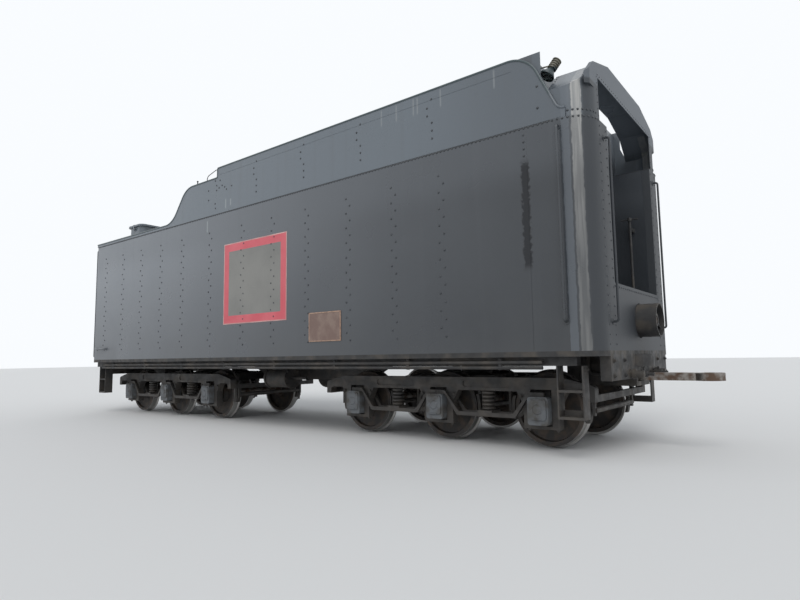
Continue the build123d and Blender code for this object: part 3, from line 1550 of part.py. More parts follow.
# Wheel pair: the rim with its flange and coned tread, a dished plate and a hub
rim_bore = tread_radius - rim_thickness
tread_edge = tread_radius - tread_fall
plate_hub = half_wheel_back + plate_place
plate_rim = plate_hub + plate_dish
hub_inner = half_wheel_back - hub_back
with BuildPart() as wheel_pair:
    with BuildSketch(Plane.YZ):
        with BuildLine():
            Polyline(
                (half_wheel_back, rim_bore),
                (half_wheel_back, flange_radius - flange_round),
                (half_wheel_back + flange_round, flange_radius),
                (half_wheel_back + 2 * flange_round, flange_radius - flange_round / 3),
                (half_wheel_back + flange_thickness, tread_radius),
                (half_wheel_back + rim_width - rim_chamfer, tread_edge),
                (half_wheel_back + rim_width, tread_edge - rim_chamfer),
                (half_wheel_back + rim_width, rim_bore),
                (plate_rim, rim_bore - rim_fillet),
                (plate_hub, hub_radius + hub_fillet),
                (wheel_face, hub_radius),
                (wheel_face, axle_seat_radius),
                (hub_inner, axle_seat_radius),
                (hub_inner, hub_radius),
                (plate_hub - plate_thickness, hub_radius + hub_fillet),
                (plate_rim - plate_thickness, rim_bore - rim_fillet),
                close=True,
            )
        make_face()
    revolve(axis=Axis.Y)
    mirror(about=Plane.XZ)

# Axle: wheel seats, a slimmer middle and a journal with its collar at each end
with BuildPart() as axle:
    with BuildSketch(Plane.YZ):
        with BuildLine():
            Polyline(
                (0, 0),
                (0, axle_waist_radius),
                (hub_inner - axle_taper, axle_waist_radius),
                (hub_inner, axle_seat_radius),
                (wheel_face, axle_seat_radius),
                (wheel_face, journal_collar_radius),
                (wheel_face + box_gap + journal_fillet, journal_collar_radius),
                (wheel_face + box_gap + 2 * journal_fillet, journal_radius),
                (journal_end - journal_collar - journal_fillet / 3, journal_radius),
                (journal_end - journal_collar, journal_collar_radius),
                (journal_end, journal_collar_radius),
                (journal_end, 0),
                close=True,
            )
        make_face()
    revolve(axis=Axis.Y)
    mirror(about=Plane.XZ)

for end, place in truck_places.items():
    seat = Location((place, 0, 0))
    save(truck_frame.part.moved(seat), f"truck_frame_{end}")
    save(journal_boxes.part.moved(seat), f"journal_boxes_{end}")
    save(equalizers.part.moved(seat), f"equalizers_{end}")
    save(brakes.part.moved(seat), f"brakes_{end}")
    for number, axle_place in enumerate(axle_places, start=1):
        seat = Location((place + axle_place, 0, axle_height))
        save(wheel_pair.part.moved(seat), f"wheels_{end}_{number}")
        save(axle.part.moved(seat), f"axle_{end}_{number}")
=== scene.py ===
# %% [markdown]
# # A steam locomotive's tender
# A tender carries the water and coal of a steam locomotive. Its tank, bunker, frame, trucks and
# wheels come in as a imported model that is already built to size. This lesson dresses it: painted
# plates, rivets, signs and small fasteners, in the light of a plain studio.

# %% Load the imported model
import bmesh
import bpy
import math
from mathutils import Matrix, Vector


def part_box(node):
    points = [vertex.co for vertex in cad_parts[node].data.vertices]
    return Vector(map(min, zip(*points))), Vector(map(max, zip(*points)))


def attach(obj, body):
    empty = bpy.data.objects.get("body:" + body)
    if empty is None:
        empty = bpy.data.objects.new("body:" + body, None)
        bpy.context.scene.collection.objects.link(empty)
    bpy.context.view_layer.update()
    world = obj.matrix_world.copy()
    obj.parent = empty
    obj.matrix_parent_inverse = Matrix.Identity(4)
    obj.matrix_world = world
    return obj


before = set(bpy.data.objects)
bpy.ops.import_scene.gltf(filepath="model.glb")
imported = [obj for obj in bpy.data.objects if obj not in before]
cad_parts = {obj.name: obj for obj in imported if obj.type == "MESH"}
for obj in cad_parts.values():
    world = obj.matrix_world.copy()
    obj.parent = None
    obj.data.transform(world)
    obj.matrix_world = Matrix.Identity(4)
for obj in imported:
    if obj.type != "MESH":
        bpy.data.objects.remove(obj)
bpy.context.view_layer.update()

# %% [markdown]
# Everything that is added has to sit on the plates that are there, so the places are read from
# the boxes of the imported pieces. They could be typed in, but then a change to the tank would
# leave the rivets hanging beside it. The right hand is the side of negative y.

# %% Read the places that carry the dressing
tank_low, tank_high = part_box("water_tank")
rear, front, side = tank_low.x, tank_high.x, tank_high.y
tank_foot, deck = tank_low.z, tank_high.z
bed_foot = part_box("sill_steps")[1].z
hood_low, hood_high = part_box("front_hood")
wing_low, wing_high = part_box("front_wings")
high_edge = wing_high.z
corner_radius = 0.3
corner_start = front - corner_radius
both_hands = (-1, 1)
named_hands = ((-1, "right"), (1, "left"))
print(f"tank {front - rear:.2f} m long, {2 * side:.2f} m wide, deck at {deck:.3f} m")

# %% [markdown]
# The camera stands at eye height beside the front end and looks back along the right side. A
# position and three angles fix it: where it is, how far it turns left, tips up and leans over.
# Building the rotation from those three keeps each one readable, where a target to look at
# would hide the lean.

# %% Place the camera
def stand(name, data):
    """Turn data into an object that stands in the scene."""
    made = bpy.data.objects.new(name, data)
    bpy.context.scene.collection.objects.link(made)
    return made


eye = Vector((7.669, -7.424, 1.145))
turn, tip, lean = (math.radians(angle) for angle in (37.657, 5.816, -0.852))
camera_data = bpy.data.cameras.new("eye_level_camera")
camera_data.sensor_width = 36.0
camera_data.lens = 25.135
camera_data.clip_end = 300.0
camera = stand("eye_level_camera", camera_data)
aim = Matrix.Rotation(turn, 4, "Z") @ Matrix.Rotation(math.pi / 2 + tip, 4, "X")
camera.matrix_world = Matrix.Translation(eye) @ aim @ Matrix.Rotation(lean, 4, "Z")
bpy.context.scene.camera = camera
print("camera at", tuple(round(value, 2) for value in eye), "lens", camera_data.lens)

# %% [markdown]
# Light and paint are both mixed from nodes. They could be made and joined one by one, but a real
# coat of paint takes dozens. A small class, the bench, keeps the steps short: each one makes a
# node, sets it up, feeds its sockets and hands on what comes out.

# %% Set up a bench for mixing nodes
class Bench:
    """The nodes of a sky or a material, and the arithmetic on what runs between them."""

    def __init__(self, tree):
        self.tree = tree

    def feed(self, socket, value):
        """Join a pattern to a socket, or set the socket to a plain number or colour."""
        if isinstance(value, bpy.types.NodeSocket):
            self.tree.links.new(value, socket)
        elif isinstance(value, tuple):
            socket.default_value = (*value, 1.0)[:len(socket.default_value)]
        else:
            socket.default_value = value

    def node(self, kind, sockets, **setting):
        """A new node with its setting and its sockets fed, as what comes out of it."""
        made = self.tree.nodes.new("ShaderNode" + kind)
        for name, value in setting.items():
            setattr(made, name, value)
        for name, value in sockets.items():
            self.feed(made.inputs[name], value)
        return made.outputs

    def sum(self, operation, first, second=0.0):
        """Arithmetic on two patterns or numbers."""
        return self.node("Math", {0: first, 1: second}, operation=operation)[0]

    def both(self, *patterns):
        """Where all the patterns are."""
        result = patterns[0]
        for pattern in patterns[1:]:
            result = self.sum("MULTIPLY", result, pattern)
        return result


print("the bench is ready")

# %% [markdown]
# The light is that of a bright, dull day: the whole sky shines, and a wide soft sun only gives
# the plates a lit side and a shaded side. The sky could simply be made brighter until it looks
# white, but that would bleach the paint. Here only the rays that go straight to the camera, or
# by a mirror or through glass, see it at full white, and the paint gets a plainer level. The
# Standard view shows a colour as it is written.

# %% Light the sky
bpy.context.scene.view_settings.view_transform = "Standard"
sky_level = 0.62
sky = bpy.data.worlds.new("dull_day")
sky.use_nodes = True
bench = Bench(sky.node_tree)
rays = bench.node("LightPath", {})
seen = rays["Is Camera Ray"]
for kind in ("Is Glossy Ray", "Is Transmission Ray"):
    seen = bench.sum("MAXIMUM", seen, rays[kind])
level = bench.node("MapRange", {"Value": seen, "To Min": sky_level, "To Max": 1.0})
background = sky.node_tree.nodes["Background"]
bench.feed(background.inputs["Color"], (0.95, 0.975, 1.0))
bench.feed(background.inputs["Strength"], level["Result"])
bpy.context.scene.world = sky
print("sky level", sky_level)

# %% [markdown]
# The sun stands high behind the camera. It is forty degrees wide, as if it shone through thin
# cloud, so it lights the near side a little more and leaves no hard shadow.

# %% Add the soft sun
sun_data = bpy.data.lights.new("soft_sun", "SUN")
sun_data.energy = 1.0
sun_data.angle = math.radians(40)
sun_data.color = (1.0, 0.98, 0.95)
sun = stand("soft_sun", sun_data)
sun_turn, sun_tip = math.radians(28), math.radians(42)
sun.matrix_world = Matrix.Rotation(sun_turn, 4, "Z") @ Matrix.Rotation(sun_tip, 4, "X")
print("sun", sun_data.energy)

# %% [markdown]
# A finish is a shader with a few patterns fed into it. Each pattern reads the piece's own Object
# coordinates, which are metres here, so a noise scale of 10 means a blotch about a tenth of a
# metre wide. A smooth step turns the middle of a noise into blotches with soft edges, and the
# same step along x, y or z makes a band. Values that are the same all over stay plain numbers.

# %% Add patterns to the bench
class Patterns(Bench):
    """A material's bench, with steps, bands and clouds in the piece's own coordinates."""

    def __init__(self, name):
        self.material = bpy.data.materials.new(name)
        self.material.use_nodes = True
        super().__init__(self.material.node_tree)
        self.place = self.node("TexCoord", {})["Object"]
        self.x, self.y, self.z = self.node("SeparateXYZ", {0: self.place})

    def ease(self, pattern, low, high, start=0.0, end=1.0):
        """Turn the range from low to high into start to end, and hold it outside."""
        ends = {"From Min": low, "From Max": high, "To Min": start, "To Max": end}
        step = self.node("MapRange", {"Value": pattern, **ends}, interpolation_type="SMOOTHSTEP")
        return step["Result"]

    def band(self, axis, low, high, blur):
        """A band from low to high along an axis, with blurred edges."""
        rise = self.ease(axis, low - blur, low)
        return self.both(rise, self.ease(axis, high, high + blur, 1, 0))

    def noise(self, scale, detail, stretch=None):
        """Cloudy pattern from 0 to 1, drawn out along an axis by a small stretch value."""
        place = self.place
        if stretch:
            place = self.node("Mapping", {"Vector": place, "Scale": stretch})[0]
        return self.node("TexNoise", {"Vector": place, "Scale": scale, "Detail": detail})["Fac"]

    def clouds(self, scale, detail, low, high, start=0.0, end=1.0, stretch=None):
        """Noise with more contrast: its range from low to high becomes start to end."""
        return self.ease(self.noise(scale, detail, stretch), low, high, start, end)

    def ragged(self, axis, scale, reach):
        """An axis that strays by up to reach, so that a band along it gets ragged edges."""
        return self.sum("ADD", axis, self.clouds(scale, 4, 0.3, 0.7, -reach, reach))


print("patterns are ready")

# %% [markdown]
# Weathered paint is many coats. Each coat mixes its colour over what is there, where its masks
# are, so the order of the steps is the order in which the years laid them. Bumps stack in the
# same way: each one starts from the normal of the one before. The plain colour and gloss that a
# finish starts with hold wherever no pattern is fed in.

# %% Add coats and bumps
class Finish(Patterns):
    """A finish with its coats of colour, its gloss and its relief."""

    def __init__(self, name, colour, roughness, metallic=0.0, slot="tank_black"):
        super().__init__(name)
        self.slot = slot
        self.shader = self.tree.nodes["Principled BSDF"].inputs
        self.feed(self.shader["Base Color"], colour)
        self.feed(self.shader["Roughness"], roughness)
        self.feed(self.shader["Metallic"], metallic)

    def blend(self, share, first, second):
        """Mix two colours by a pattern."""
        return self.node("Mix", {0: share, 6: first, 7: second}, data_type="RGBA")[2]

    def paint(self, share, first, second):
        """Colour the surface with two colours, mixed by a pattern."""
        self.coat = self.blend(share, first, second)
        self.feed(self.shader["Base Color"], self.coat)

    def lay(self, colour, *masks):
        """Lay a colour over the coat that is there, where all the masks are."""
        self.paint(self.both(*masks), self.coat, colour)

    def roughness(self, value):
        """Feed the shader's roughness."""
        self.feed(self.shader["Roughness"], value)

    def bump(self, pattern, depth, before=None):
        """Raise the surface by a pattern, on top of an earlier bump if there is one."""
        sockets = {"Height": pattern, "Distance": depth, "Strength": 1.0}
        if before is not None:
            sockets["Normal"] = before
        relief = self.node("Bump", sockets)[0]
        self.feed(self.shader["Normal"], relief)
        return relief


print("finishes can be mixed")

# %% [markdown]
# The tank is painted black, which years of weather have dulled. Rain draws pale streaks down the
# plates from their top edges and dust gathers low down. Over the black lies a painted reflection:
# a pale slate grey for the bright sky that the sheet mirrors, strongest on the right side, higher
# up and toward the rear end, where the side is seen at a grazing angle. Streaks are noise
# stretched along Z, and the dust and the painted reflection follow height and length. Each coat is
# laid over the last.

# %% Mix the weathered tank paint and its painted reflection
sky_reflection_grey = (0.25, 0.273, 0.305)
shade_grey = (0.115, 0.128, 0.145)
bunker_blue = (0.155, 0.185, 0.216)
rain_grey = (0.11, 0.118, 0.13)
dust_grey = (0.075, 0.075, 0.073)

tank_paint = Finish("tank_paint", (0.06, 0.07, 0.083), 0.3)
tank_paint.shader["Specular IOR Level"].default_value = 0.62
weather = tank_paint.clouds(0.8, 5, 0.3, 0.7)
tank_paint.paint(weather, (0.023, 0.027, 0.033), (0.034, 0.039, 0.046))
# Painted reflection: a pale slate grey stands in for the bright sky mirrored by the sheet,
# strongest toward the rear, higher up and on the right side.
reflection_toward_rear = tank_paint.ease(tank_paint.x, rear, rear + 12.8, 1.0, 0.0)
upper = tank_paint.ease(tank_paint.z, tank_foot, deck, 0.48, 0.92)
reflection_on_right = tank_paint.ease(tank_paint.y, 0.03 - side, 0.06 - side, 1.0, 0.35)
tank_paint.lay(sky_reflection_grey, reflection_toward_rear, upper, reflection_on_right)
under_deck = tank_paint.ease(tank_paint.z, deck - 0.8, deck - 0.3, 0.0, 0.35)
tank_paint.lay(shade_grey, under_deck)
bunker_side = tank_paint.ease(tank_paint.z, deck - 0.01, deck + 0.01)
toward_hood = tank_paint.ease(tank_paint.x, rear + 9.0, rear + 10.7, 0.75, 0.45)
tank_paint.lay(bunker_blue, bunker_side, toward_hood)
streaks = tank_paint.clouds(7.0, 3, 0.5, 0.8, stretch=(1, 1, 0.04))
high = tank_paint.ease(tank_paint.z, tank_foot + 1.2, high_edge, 0.1, 0.4)
tank_paint.lay(rain_grey, streaks, high, 0.7)
low = tank_paint.ease(tank_paint.z, tank_foot, tank_foot + 0.8, 0.4, 0.0)
tank_paint.lay(dust_grey, low, weather, 0.6)
print("slate mixed")

# %% [markdown]
# The half-round bar along the bunker's edge is darker and greener, and as it is the only paint
# beyond the plates, its distance from the middle finds it. Where the bunker's plates meet the tank,
# a thin dark line on the side is painted shadow under the lapped edge, and coal dust has made the
# deck behind it dull.

# %% Darken the edge bar, paint the shadow at the seam and dull the deck
edge_bar_teal = (0.055, 0.08, 0.088)
lap_shadow_black = (0.02, 0.022, 0.025)
deck_soot = (0.035, 0.036, 0.037)

aside = tank_paint.sum("ABSOLUTE", tank_paint.y)
behind_corner = tank_paint.ease(tank_paint.x, front - 0.45, front - 0.43, 1, 0)
proud = tank_paint.ease(aside, side + 0.003, side + 0.005)
above_deck = tank_paint.ease(tank_paint.z, deck + 0.03, deck + 0.05)
tank_paint.lay(edge_bar_teal, proud, above_deck, behind_corner)
# Painted shadow: a thin dark band under the lapped edge of the seam. Inside, the same band dulls
# the deck with coal dust.
lap_shadow_and_deck = tank_paint.band(tank_paint.z, deck - 0.008, deck + 0.006, 0.003)
at_side = tank_paint.ease(aside, side - 0.04, side - 0.02)
tank_paint.lay(lap_shadow_black, lap_shadow_and_deck, behind_corner, at_side)
off_side = tank_paint.ease(aside, side - 0.04, side - 0.02, 1, 0)
tank_paint.lay(deck_soot, lap_shadow_and_deck, off_side, 0.75)
print("edges darkened")

# %% [markdown]
# Short runs of pale water hang below the bunker's edge, and three more show on the right plate
# alone. A dark, ragged strip runs down beside a joint behind the front corner. Its band follows an
# axis that strays from side to side, which tears its edges.

# %% Add the runs of water and the dark strip
run_pale, run_green = (0.3, 0.32, 0.33), (0.33, 0.37, 0.38)
dark_strip_black = (0.02, 0.022, 0.026)

below_edge = tank_paint.band(tank_paint.z, high_edge - 0.24, high_edge - 0.06, 0.05)
for place in (8.611, 8.879, 9.171, 9.238, 9.61, 10.391):
    run = tank_paint.band(tank_paint.x, rear + place - 0.007, rear + place + 0.007, 0.009)
    tank_paint.lay(run_pale, run, below_edge, 0.45)
right_plate = tank_paint.ease(tank_paint.y, 0.01 - side, 0.02 - side, 1, 0)
for place, foot, head in ((4.965, 0.09, 0.22), (5.11, 0.12, 0.2), (4.41, -0.27, -0.1)):
    run = tank_paint.band(tank_paint.x, rear + place - 0.01, rear + place + 0.01, 0.012)
    reach = tank_paint.band(tank_paint.z, deck + foot, deck + head, 0.04)
    tank_paint.lay(run_green, run, reach, right_plate, 0.6)

# A dark, ragged strip down the right plate, darker than the paint around it.
torn = tank_paint.ragged(tank_paint.x, 22.0, 0.016)
dark_strip_line = tank_paint.band(torn, rear + 10.715, rear + 10.785, 0.03)
dark_strip_reach = tank_paint.band(tank_paint.z, deck - 1.6, deck - 0.47, 0.12)
dark_strip = tank_paint.both(dark_strip_line, dark_strip_reach, right_plate)
tank_paint.lay(dark_strip_black, dark_strip)
print("water and tar added")

# %% [markdown]
# The front face is dark: partly soot, and partly painted shade from the cab, which stands in front
# of it and is not built here. Round the corner runs a chalky stripe from top to foot, where water
# comes down the bend, with a thin pale film beside it. The hood's roof has the film's grey too, as
# a painted reflection of the bright sky that its upward slopes mirror.

# %% Add the soot and the painted shade, the film, the chalk and the roof's painted reflection
soot_and_cab_shade = (0.026, 0.031, 0.038)
film_and_sky_reflection_grey = (0.15, 0.172, 0.2)
chalk_white = (0.41, 0.41, 0.4)

# Painted shade: the front end is darkened for the shade of the cab, which is not built, as well as
# for soot.
sooted_and_cab_shaded = tank_paint.ease(tank_paint.x, front - 0.12, front - 0.09)
tank_paint.lay(soot_and_cab_shade, sooted_and_cab_shaded, 0.85)
off_front = tank_paint.ease(aside, side - corner_radius, side - corner_radius + 0.02)
wavy = tank_paint.ragged(tank_paint.x, 9.0, 0.005)
film = tank_paint.band(wavy, front - 0.315, front - 0.235, 0.008)
tank_paint.lay(film_and_sky_reflection_grey, film, off_front, 0.45)
chalk = tank_paint.band(wavy, front - 0.203, front - 0.118, 0.012)
patches = tank_paint.clouds(30.0, 3, 0.35, 0.65, 0.5, 1.0, stretch=(1, 1, 0.05))
fading = tank_paint.ease(tank_paint.z, tank_foot + 0.9, hood_high.z - 0.3, 0.3, 1.0)
tank_paint.lay(chalk_white, chalk, off_front, patches, fading)
# Painted reflection: the hood's roof slopes get a paler grey for the bright sky they mirror.
above_eaves = tank_paint.ease(tank_paint.z, hood_high.z - 0.43, hood_high.z - 0.4)
on_hood = tank_paint.ease(tank_paint.x, hood_low.x - 0.01, hood_low.x + 0.01)
tank_paint.lay(film_and_sky_reflection_grey, above_eaves, on_hood, 0.6)
print("soot and chalk added")

# %% [markdown]
# Coal scours the inside of the bunker and leaves rust and black dust there. The same paint covers
# both faces of a sheet, so a mask tells them apart: inside means nearer the middle than the
# sheet's outer skin, ahead of the bunker's rear bulkhead and behind the gates. Rust, the dark
# strip and the sooty, shaded front are dull. The sheets are never quite flat, which shows in what
# they mirror, so a broad shallow bump lies under the fine one.

# %% Rust the inside of the bunker and set the paint's gloss
gate_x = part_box("coal_gate_bulkhead")[0].x
bulk_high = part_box("bunker_bulkhead")[1]
bulk_plate_x = bulk_high.x - 0.02
inside = tank_paint.ease(aside, side - 0.007, side - 0.004, 1, 0)
behind_gates = tank_paint.ease(tank_paint.x, gate_x - 0.01, gate_x + 0.01, 1, 0)
ahead_of_plate = tank_paint.ease(tank_paint.x, bulk_plate_x - 0.01, bulk_plate_x + 0.01)
scoured = tank_paint.ease(tank_paint.z, deck + 0.3, deck + 0.7, 1, 0.25)
bunker = tank_paint.both(inside, behind_gates, ahead_of_plate, scoured)
rust_clouds = tank_paint.clouds(3.2, 5, 0.4, 0.62)
rust = tank_paint.blend(rust_clouds, (0.032, 0.029, 0.027), (0.095, 0.058, 0.04))
tank_paint.lay(rust, bunker)

sheen = tank_paint.clouds(1.6, 4, 0.3, 0.7, 0.27, 0.36)
dull = tank_paint.both(tank_paint.sum("MAXIMUM", bunker, dark_strip), 0.85)
dull = tank_paint.sum("MAXIMUM", dull, tank_paint.both(sooted_and_cab_shaded, 0.55))
tank_paint.roughness(tank_paint.sum("MAXIMUM", sheen, dull))
waves = tank_paint.bump(tank_paint.noise(0.9, 1), 0.01)
tank_paint.bump(tank_paint.noise(38.0, 3), 0.0007, before=waves)
print("tank paint mixed")

# %% [markdown]
# The frame, the trucks and all that hangs under the tank are black iron that nobody washes. Brown
# dust and old grease lie on them, more so low down. Castings have a coarser skin than plate, so
# this bump is finer and deeper than the paint's. The journal boxes were painted grey once.

# %% Mix the grimy iron of the running gear
grimy_iron = Finish("grimy_iron", (0.045, 0.043, 0.042), 0.62, slot="cast_black")
grime = grimy_iron.clouds(4.5, 5, 0.42, 0.7)
grimy_iron.paint(grime, (0.03, 0.03, 0.031), (0.07, 0.061, 0.052))
near_ground = grimy_iron.ease(grimy_iron.z, 0.2, 1.1, 0.5, 0.0)
grimy_iron.lay((0.068, 0.06, 0.053), near_ground)
grimy_iron.roughness(grimy_iron.clouds(11.0, 3, 0.3, 0.7, 0.5, 0.75))
grimy_iron.bump(grimy_iron.noise(85.0, 4), 0.0011)

box_grey = Finish("box_grey", (0.16, 0.17, 0.175), 0.55, slot="box_grey")
box_dirt = box_grey.clouds(7.0, 5, 0.4, 0.68)
box_grey.paint(box_dirt, (0.125, 0.135, 0.147), (0.07, 0.066, 0.06))
box_grey.roughness(box_grey.clouds(15.0, 3, 0.3, 0.7, 0.45, 0.68))
box_grey.bump(box_grey.noise(90.0, 4), 0.001)
print("iron and journal box finishes mixed")

# %% [markdown]
# Metal shows where things rub: couplings, pins, screw and axle ends are bare steel that has
# gone brown between its bright spots. A pattern switches the metal on and off, and the rusty
# part is rough.

# %% Mix the bare, rubbed steel
bare_steel = (0.3, 0.28, 0.26)
rubbed_steel = Finish("rubbed_steel", bare_steel, 0.4, 1.0, slot="worn_steel")
worn = rubbed_steel.clouds(9.0, 5, 0.4, 0.6)
rubbed_steel.paint(worn, bare_steel, (0.1, 0.062, 0.042))
bright = rubbed_steel.sum("SUBTRACT", 1.0, worn)
rubbed_steel.feed(rubbed_steel.shader["Metallic"], bright)
rubbed_steel.roughness(rubbed_steel.ease(worn, 0, 1, 0.42, 0.78))
rubbed_steel.bump(rubbed_steel.noise(70.0, 4), 0.0008)
print("rubbed steel mixed")

# %% [markdown]
# A wheel is rusty brown-black on its plate, but rolling keeps its tread and flange polished. How
# far a point is from the axle's middle line tells tread from plate, so each wheel pair gets the
# same recipe about its own axle. The distance is worked out from x and z alone.

# %% Mix a wheel finish for each axle
tread_bright = (0.42, 0.41, 0.4)
tread_depth = 0.036


def wheel_finish(node_name):
    """Grimy wheel with a polished tread, about the middle line of its own axle."""
    low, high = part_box(node_name)
    radius = (high.z - low.z) / 2
    finish = Finish("polished_" + node_name, (0.05, 0.045, 0.04), 0.6, slot="wheel_steel")
    across = finish.sum("SUBTRACT", finish.x, (low.x + high.x) / 2)
    upward = finish.sum("SUBTRACT", finish.z, (low.z + high.z) / 2)
    squares = finish.sum("ADD", finish.sum("POWER", across, 2.0), finish.sum("POWER", upward, 2.0))
    reach = finish.sum("POWER", squares, 0.5)
    tread = finish.ease(reach, radius - tread_depth, radius - tread_depth + 0.003)
    finish.paint(finish.clouds(8.0, 5, 0.4, 0.7), (0.035, 0.032, 0.031), (0.08, 0.06, 0.046))
    finish.lay(tread_bright, tread)
    finish.feed(finish.shader["Metallic"], tread)
    finish.roughness(finish.ease(tread, 0, 1, 0.68, 0.3))
    finish.bump(finish.noise(80.0, 4), 0.0008)
    return finish


def coat(node, finish):
    """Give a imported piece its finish."""
    if not node.material_slots:
        node.data.materials.append(finish.material)
    for slot in node.material_slots:
        slot.material = finish.material


wheel_names = sorted(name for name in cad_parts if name.startswith("wheels_"))
for name in wheel_names:
    coat(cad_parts[name], wheel_finish(name))
print(len(wheel_names), "wheel pairs finished")

# %% [markdown]
# The lamp glass is clear and slightly green. A transmission of 1 makes the shader bend light
# as glass does, so it needs no picture behind it. The flood lamp is not part of the tank's
# paintwork: its bell is a dark teal, and the finned body above it has faded to a drab brown.

# %% Mix the glass and the flood lamp's paint
lamp_glass = Finish("lamp_glass", (0.86, 0.93, 0.9), 0.06, slot="lamp_glass")
lamp_glass.shader["Transmission Weight"].default_value = 1.0
lamp_glass.shader["IOR"].default_value = 1.5
lamp_glass.bump(lamp_glass.noise(24.0, 0, (0.02, 1, 0.02)), 0.003)

flood_paint = Finish("flood_paint", (0.03, 0.045, 0.05), 0.4)
above_bell = flood_paint.ease(flood_paint.z, high_edge - 0.19, high_edge - 0.17)
lamp_dust = flood_paint.clouds(14.0, 3, 0.35, 0.7)
teal = flood_paint.blend(lamp_dust, (0.026, 0.042, 0.048), (0.055, 0.075, 0.082))
drab = flood_paint.blend(lamp_dust, (0.11, 0.105, 0.082), (0.2, 0.19, 0.15))
flood_paint.paint(above_bell, teal, drab)
print("glass and lamp paint mixed")

# %% [markdown]
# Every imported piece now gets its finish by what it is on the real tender. The start of its name
# says that, so a short table is enough, and whatever the table leaves out is grimy iron.

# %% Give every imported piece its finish
painted = ("water_tank", "bunker_", "rear_curb", "front_wings", "front_hood", "coal_gate",
           "manhole", "backup_lamp", "handrails", "rear_ladders")
steel = ("coupler_knuckle", "drawbar", "stoker_screw", "axle_", "uncoupling_lever")
finish_of = ((("lamp_lenses",), lamp_glass), (("flood_lamp",), flood_paint),
             (painted, tank_paint), (steel, rubbed_steel), (("journal_boxes",), box_grey))
coated = {}
for name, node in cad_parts.items():
    if name in wheel_names:
        continue
    finish = next((paint for starts, paint in finish_of if name.startswith(starts)), grimy_iron)
    coat(node, finish)
    coated[finish.material.name] = coated.get(finish.material.name, 0) + 1
print(coated)

# %% [markdown]
# Everything added from here on is a mesh made with bmesh operators, then turned into an object
# whose origin stays at the world's origin, so that the patterns lie on it as they do on the
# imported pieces. One helper does that last step for all of them: smooth shading with sharp
# edges kept, the finish, and the body that the piece moves with.

# %% Make helpers that place, finish and count a new piece
def seat(point, outward):
    """Where a small part sits: its foot on a point, its own Z pointing outward."""
    turned = Vector(outward).to_track_quat("Z", "Y").to_matrix().to_4x4()
    return Matrix.Translation(point) @ turned


def row(start, end, outward, pitch):
    """Seats evenly spaced from start to end, near a pitch."""
    start, end = Vector(start), Vector(end)
    count = max(1, round((end - start).length / pitch))
    return [seat(start.lerp(end, step / count), outward) for step in range(count + 1)]


def rows(start, end, outward, pitch):
    """A row and its mirror image on the other hand."""
    found = []
    for hand in both_hands:
        ends = (Vector(point) * Vector((1, hand, 1)) for point in (start, end, outward))
        found += row(*ends, pitch)
    return found


def ring(centre, outward, radius, count):
    """Seats spaced round a circle about a centre."""
    middle = seat(centre, outward)
    turns = [Matrix.Rotation(2 * math.pi * step / count, 4, "Z") for step in range(count)]
    return [middle @ turned @ Matrix.Translation((radius, 0, 0)) for turned in turns]


def finished(name, shape, finishes, body="tender", crease=35.0):
    """Turn a bmesh into a piece that rides on a body."""
    mesh = bpy.data.meshes.new(name)
    shape.to_mesh(mesh)
    shape.free()
    for finish in finishes:
        mesh.materials.append(finish.material)
    mesh.shade_smooth()
    mesh.set_sharp_from_angle(angle=math.radians(crease))
    piece = stand(name, mesh)
    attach(piece, body)
    print(name, len(mesh.polygons), "faces on", body)


print("helpers are ready")

# %% [markdown]
# A rivet is a rod whose hot end was hammered into a round button. Hundreds of them hold the
# plates, so each head has only a few dozen faces: a coarse ball, pressed flat to about half its
# height and sunk to its middle in the plate. Modelling one head and scattering copies of the
# object would do too, but one joined mesh for each row is far quicker to draw. The heads are
# made thirty at a time, because a bmesh that grows gets slower with every head.

# %% Make a stamp for rivet heads
rivet_paint = Finish("rivet_paint", (0.04, 0.045, 0.052), 0.4)
rivet_dust = rivet_paint.clouds(6.0, 4, 0.35, 0.7)
rivet_paint.paint(rivet_dust, (0.034, 0.039, 0.046), (0.06, 0.066, 0.075))
press = Matrix.Diagonal((1, 1, 0.6, 1))
batch = 30


def stamp_rivets(name, seats, radius=0.0165, body="tender", finish=rivet_paint):
    """One piece with a flattened ball at every seat."""
    heads = bmesh.new()
    tray = bpy.data.meshes.new("tray")
    for start in range(0, len(seats), batch):
        few = bmesh.new()
        for place in seats[start:start + batch]:
            bmesh.ops.create_uvsphere(few, u_segments=8, v_segments=4, radius=radius,
                                      matrix=place @ press)
        few.to_mesh(tray)
        few.free()
        heads.from_mesh(tray)
    bpy.data.meshes.remove(tray)
    finished(name, heads, [finish], body, crease=80.0)


print("rivet stamp ready")

# %% [markdown]
# Bolts hold what has to come off again. A bolt shows as a six-sided nut on a thin round washer,
# with the rod's end proud of it. The nut's upper edges are bevelled, as they are on a real nut,
# where the corners are turned off so that a spanner slips over them. All three are short rounds,
# and their sizes are shares of the nut's size.

# %% Make a stamp for bolts
def turned_round(shape, place, sides, foot, top, height):
    """A closed round of so many sides, with a radius at its foot and one at its top."""
    made = bmesh.ops.create_cone(shape, cap_ends=True, segments=sides, radius1=foot, radius2=top,
                                 depth=height, matrix=place)
    return made["verts"]


def soften(shape, edges, width, segments=2):
    """Take the sharpness off a list of edges."""
    bmesh.ops.bevel(shape, geom=edges, offset=width, offset_type="OFFSET", affect="EDGES",
                    segments=segments, profile=0.5, material=-1)


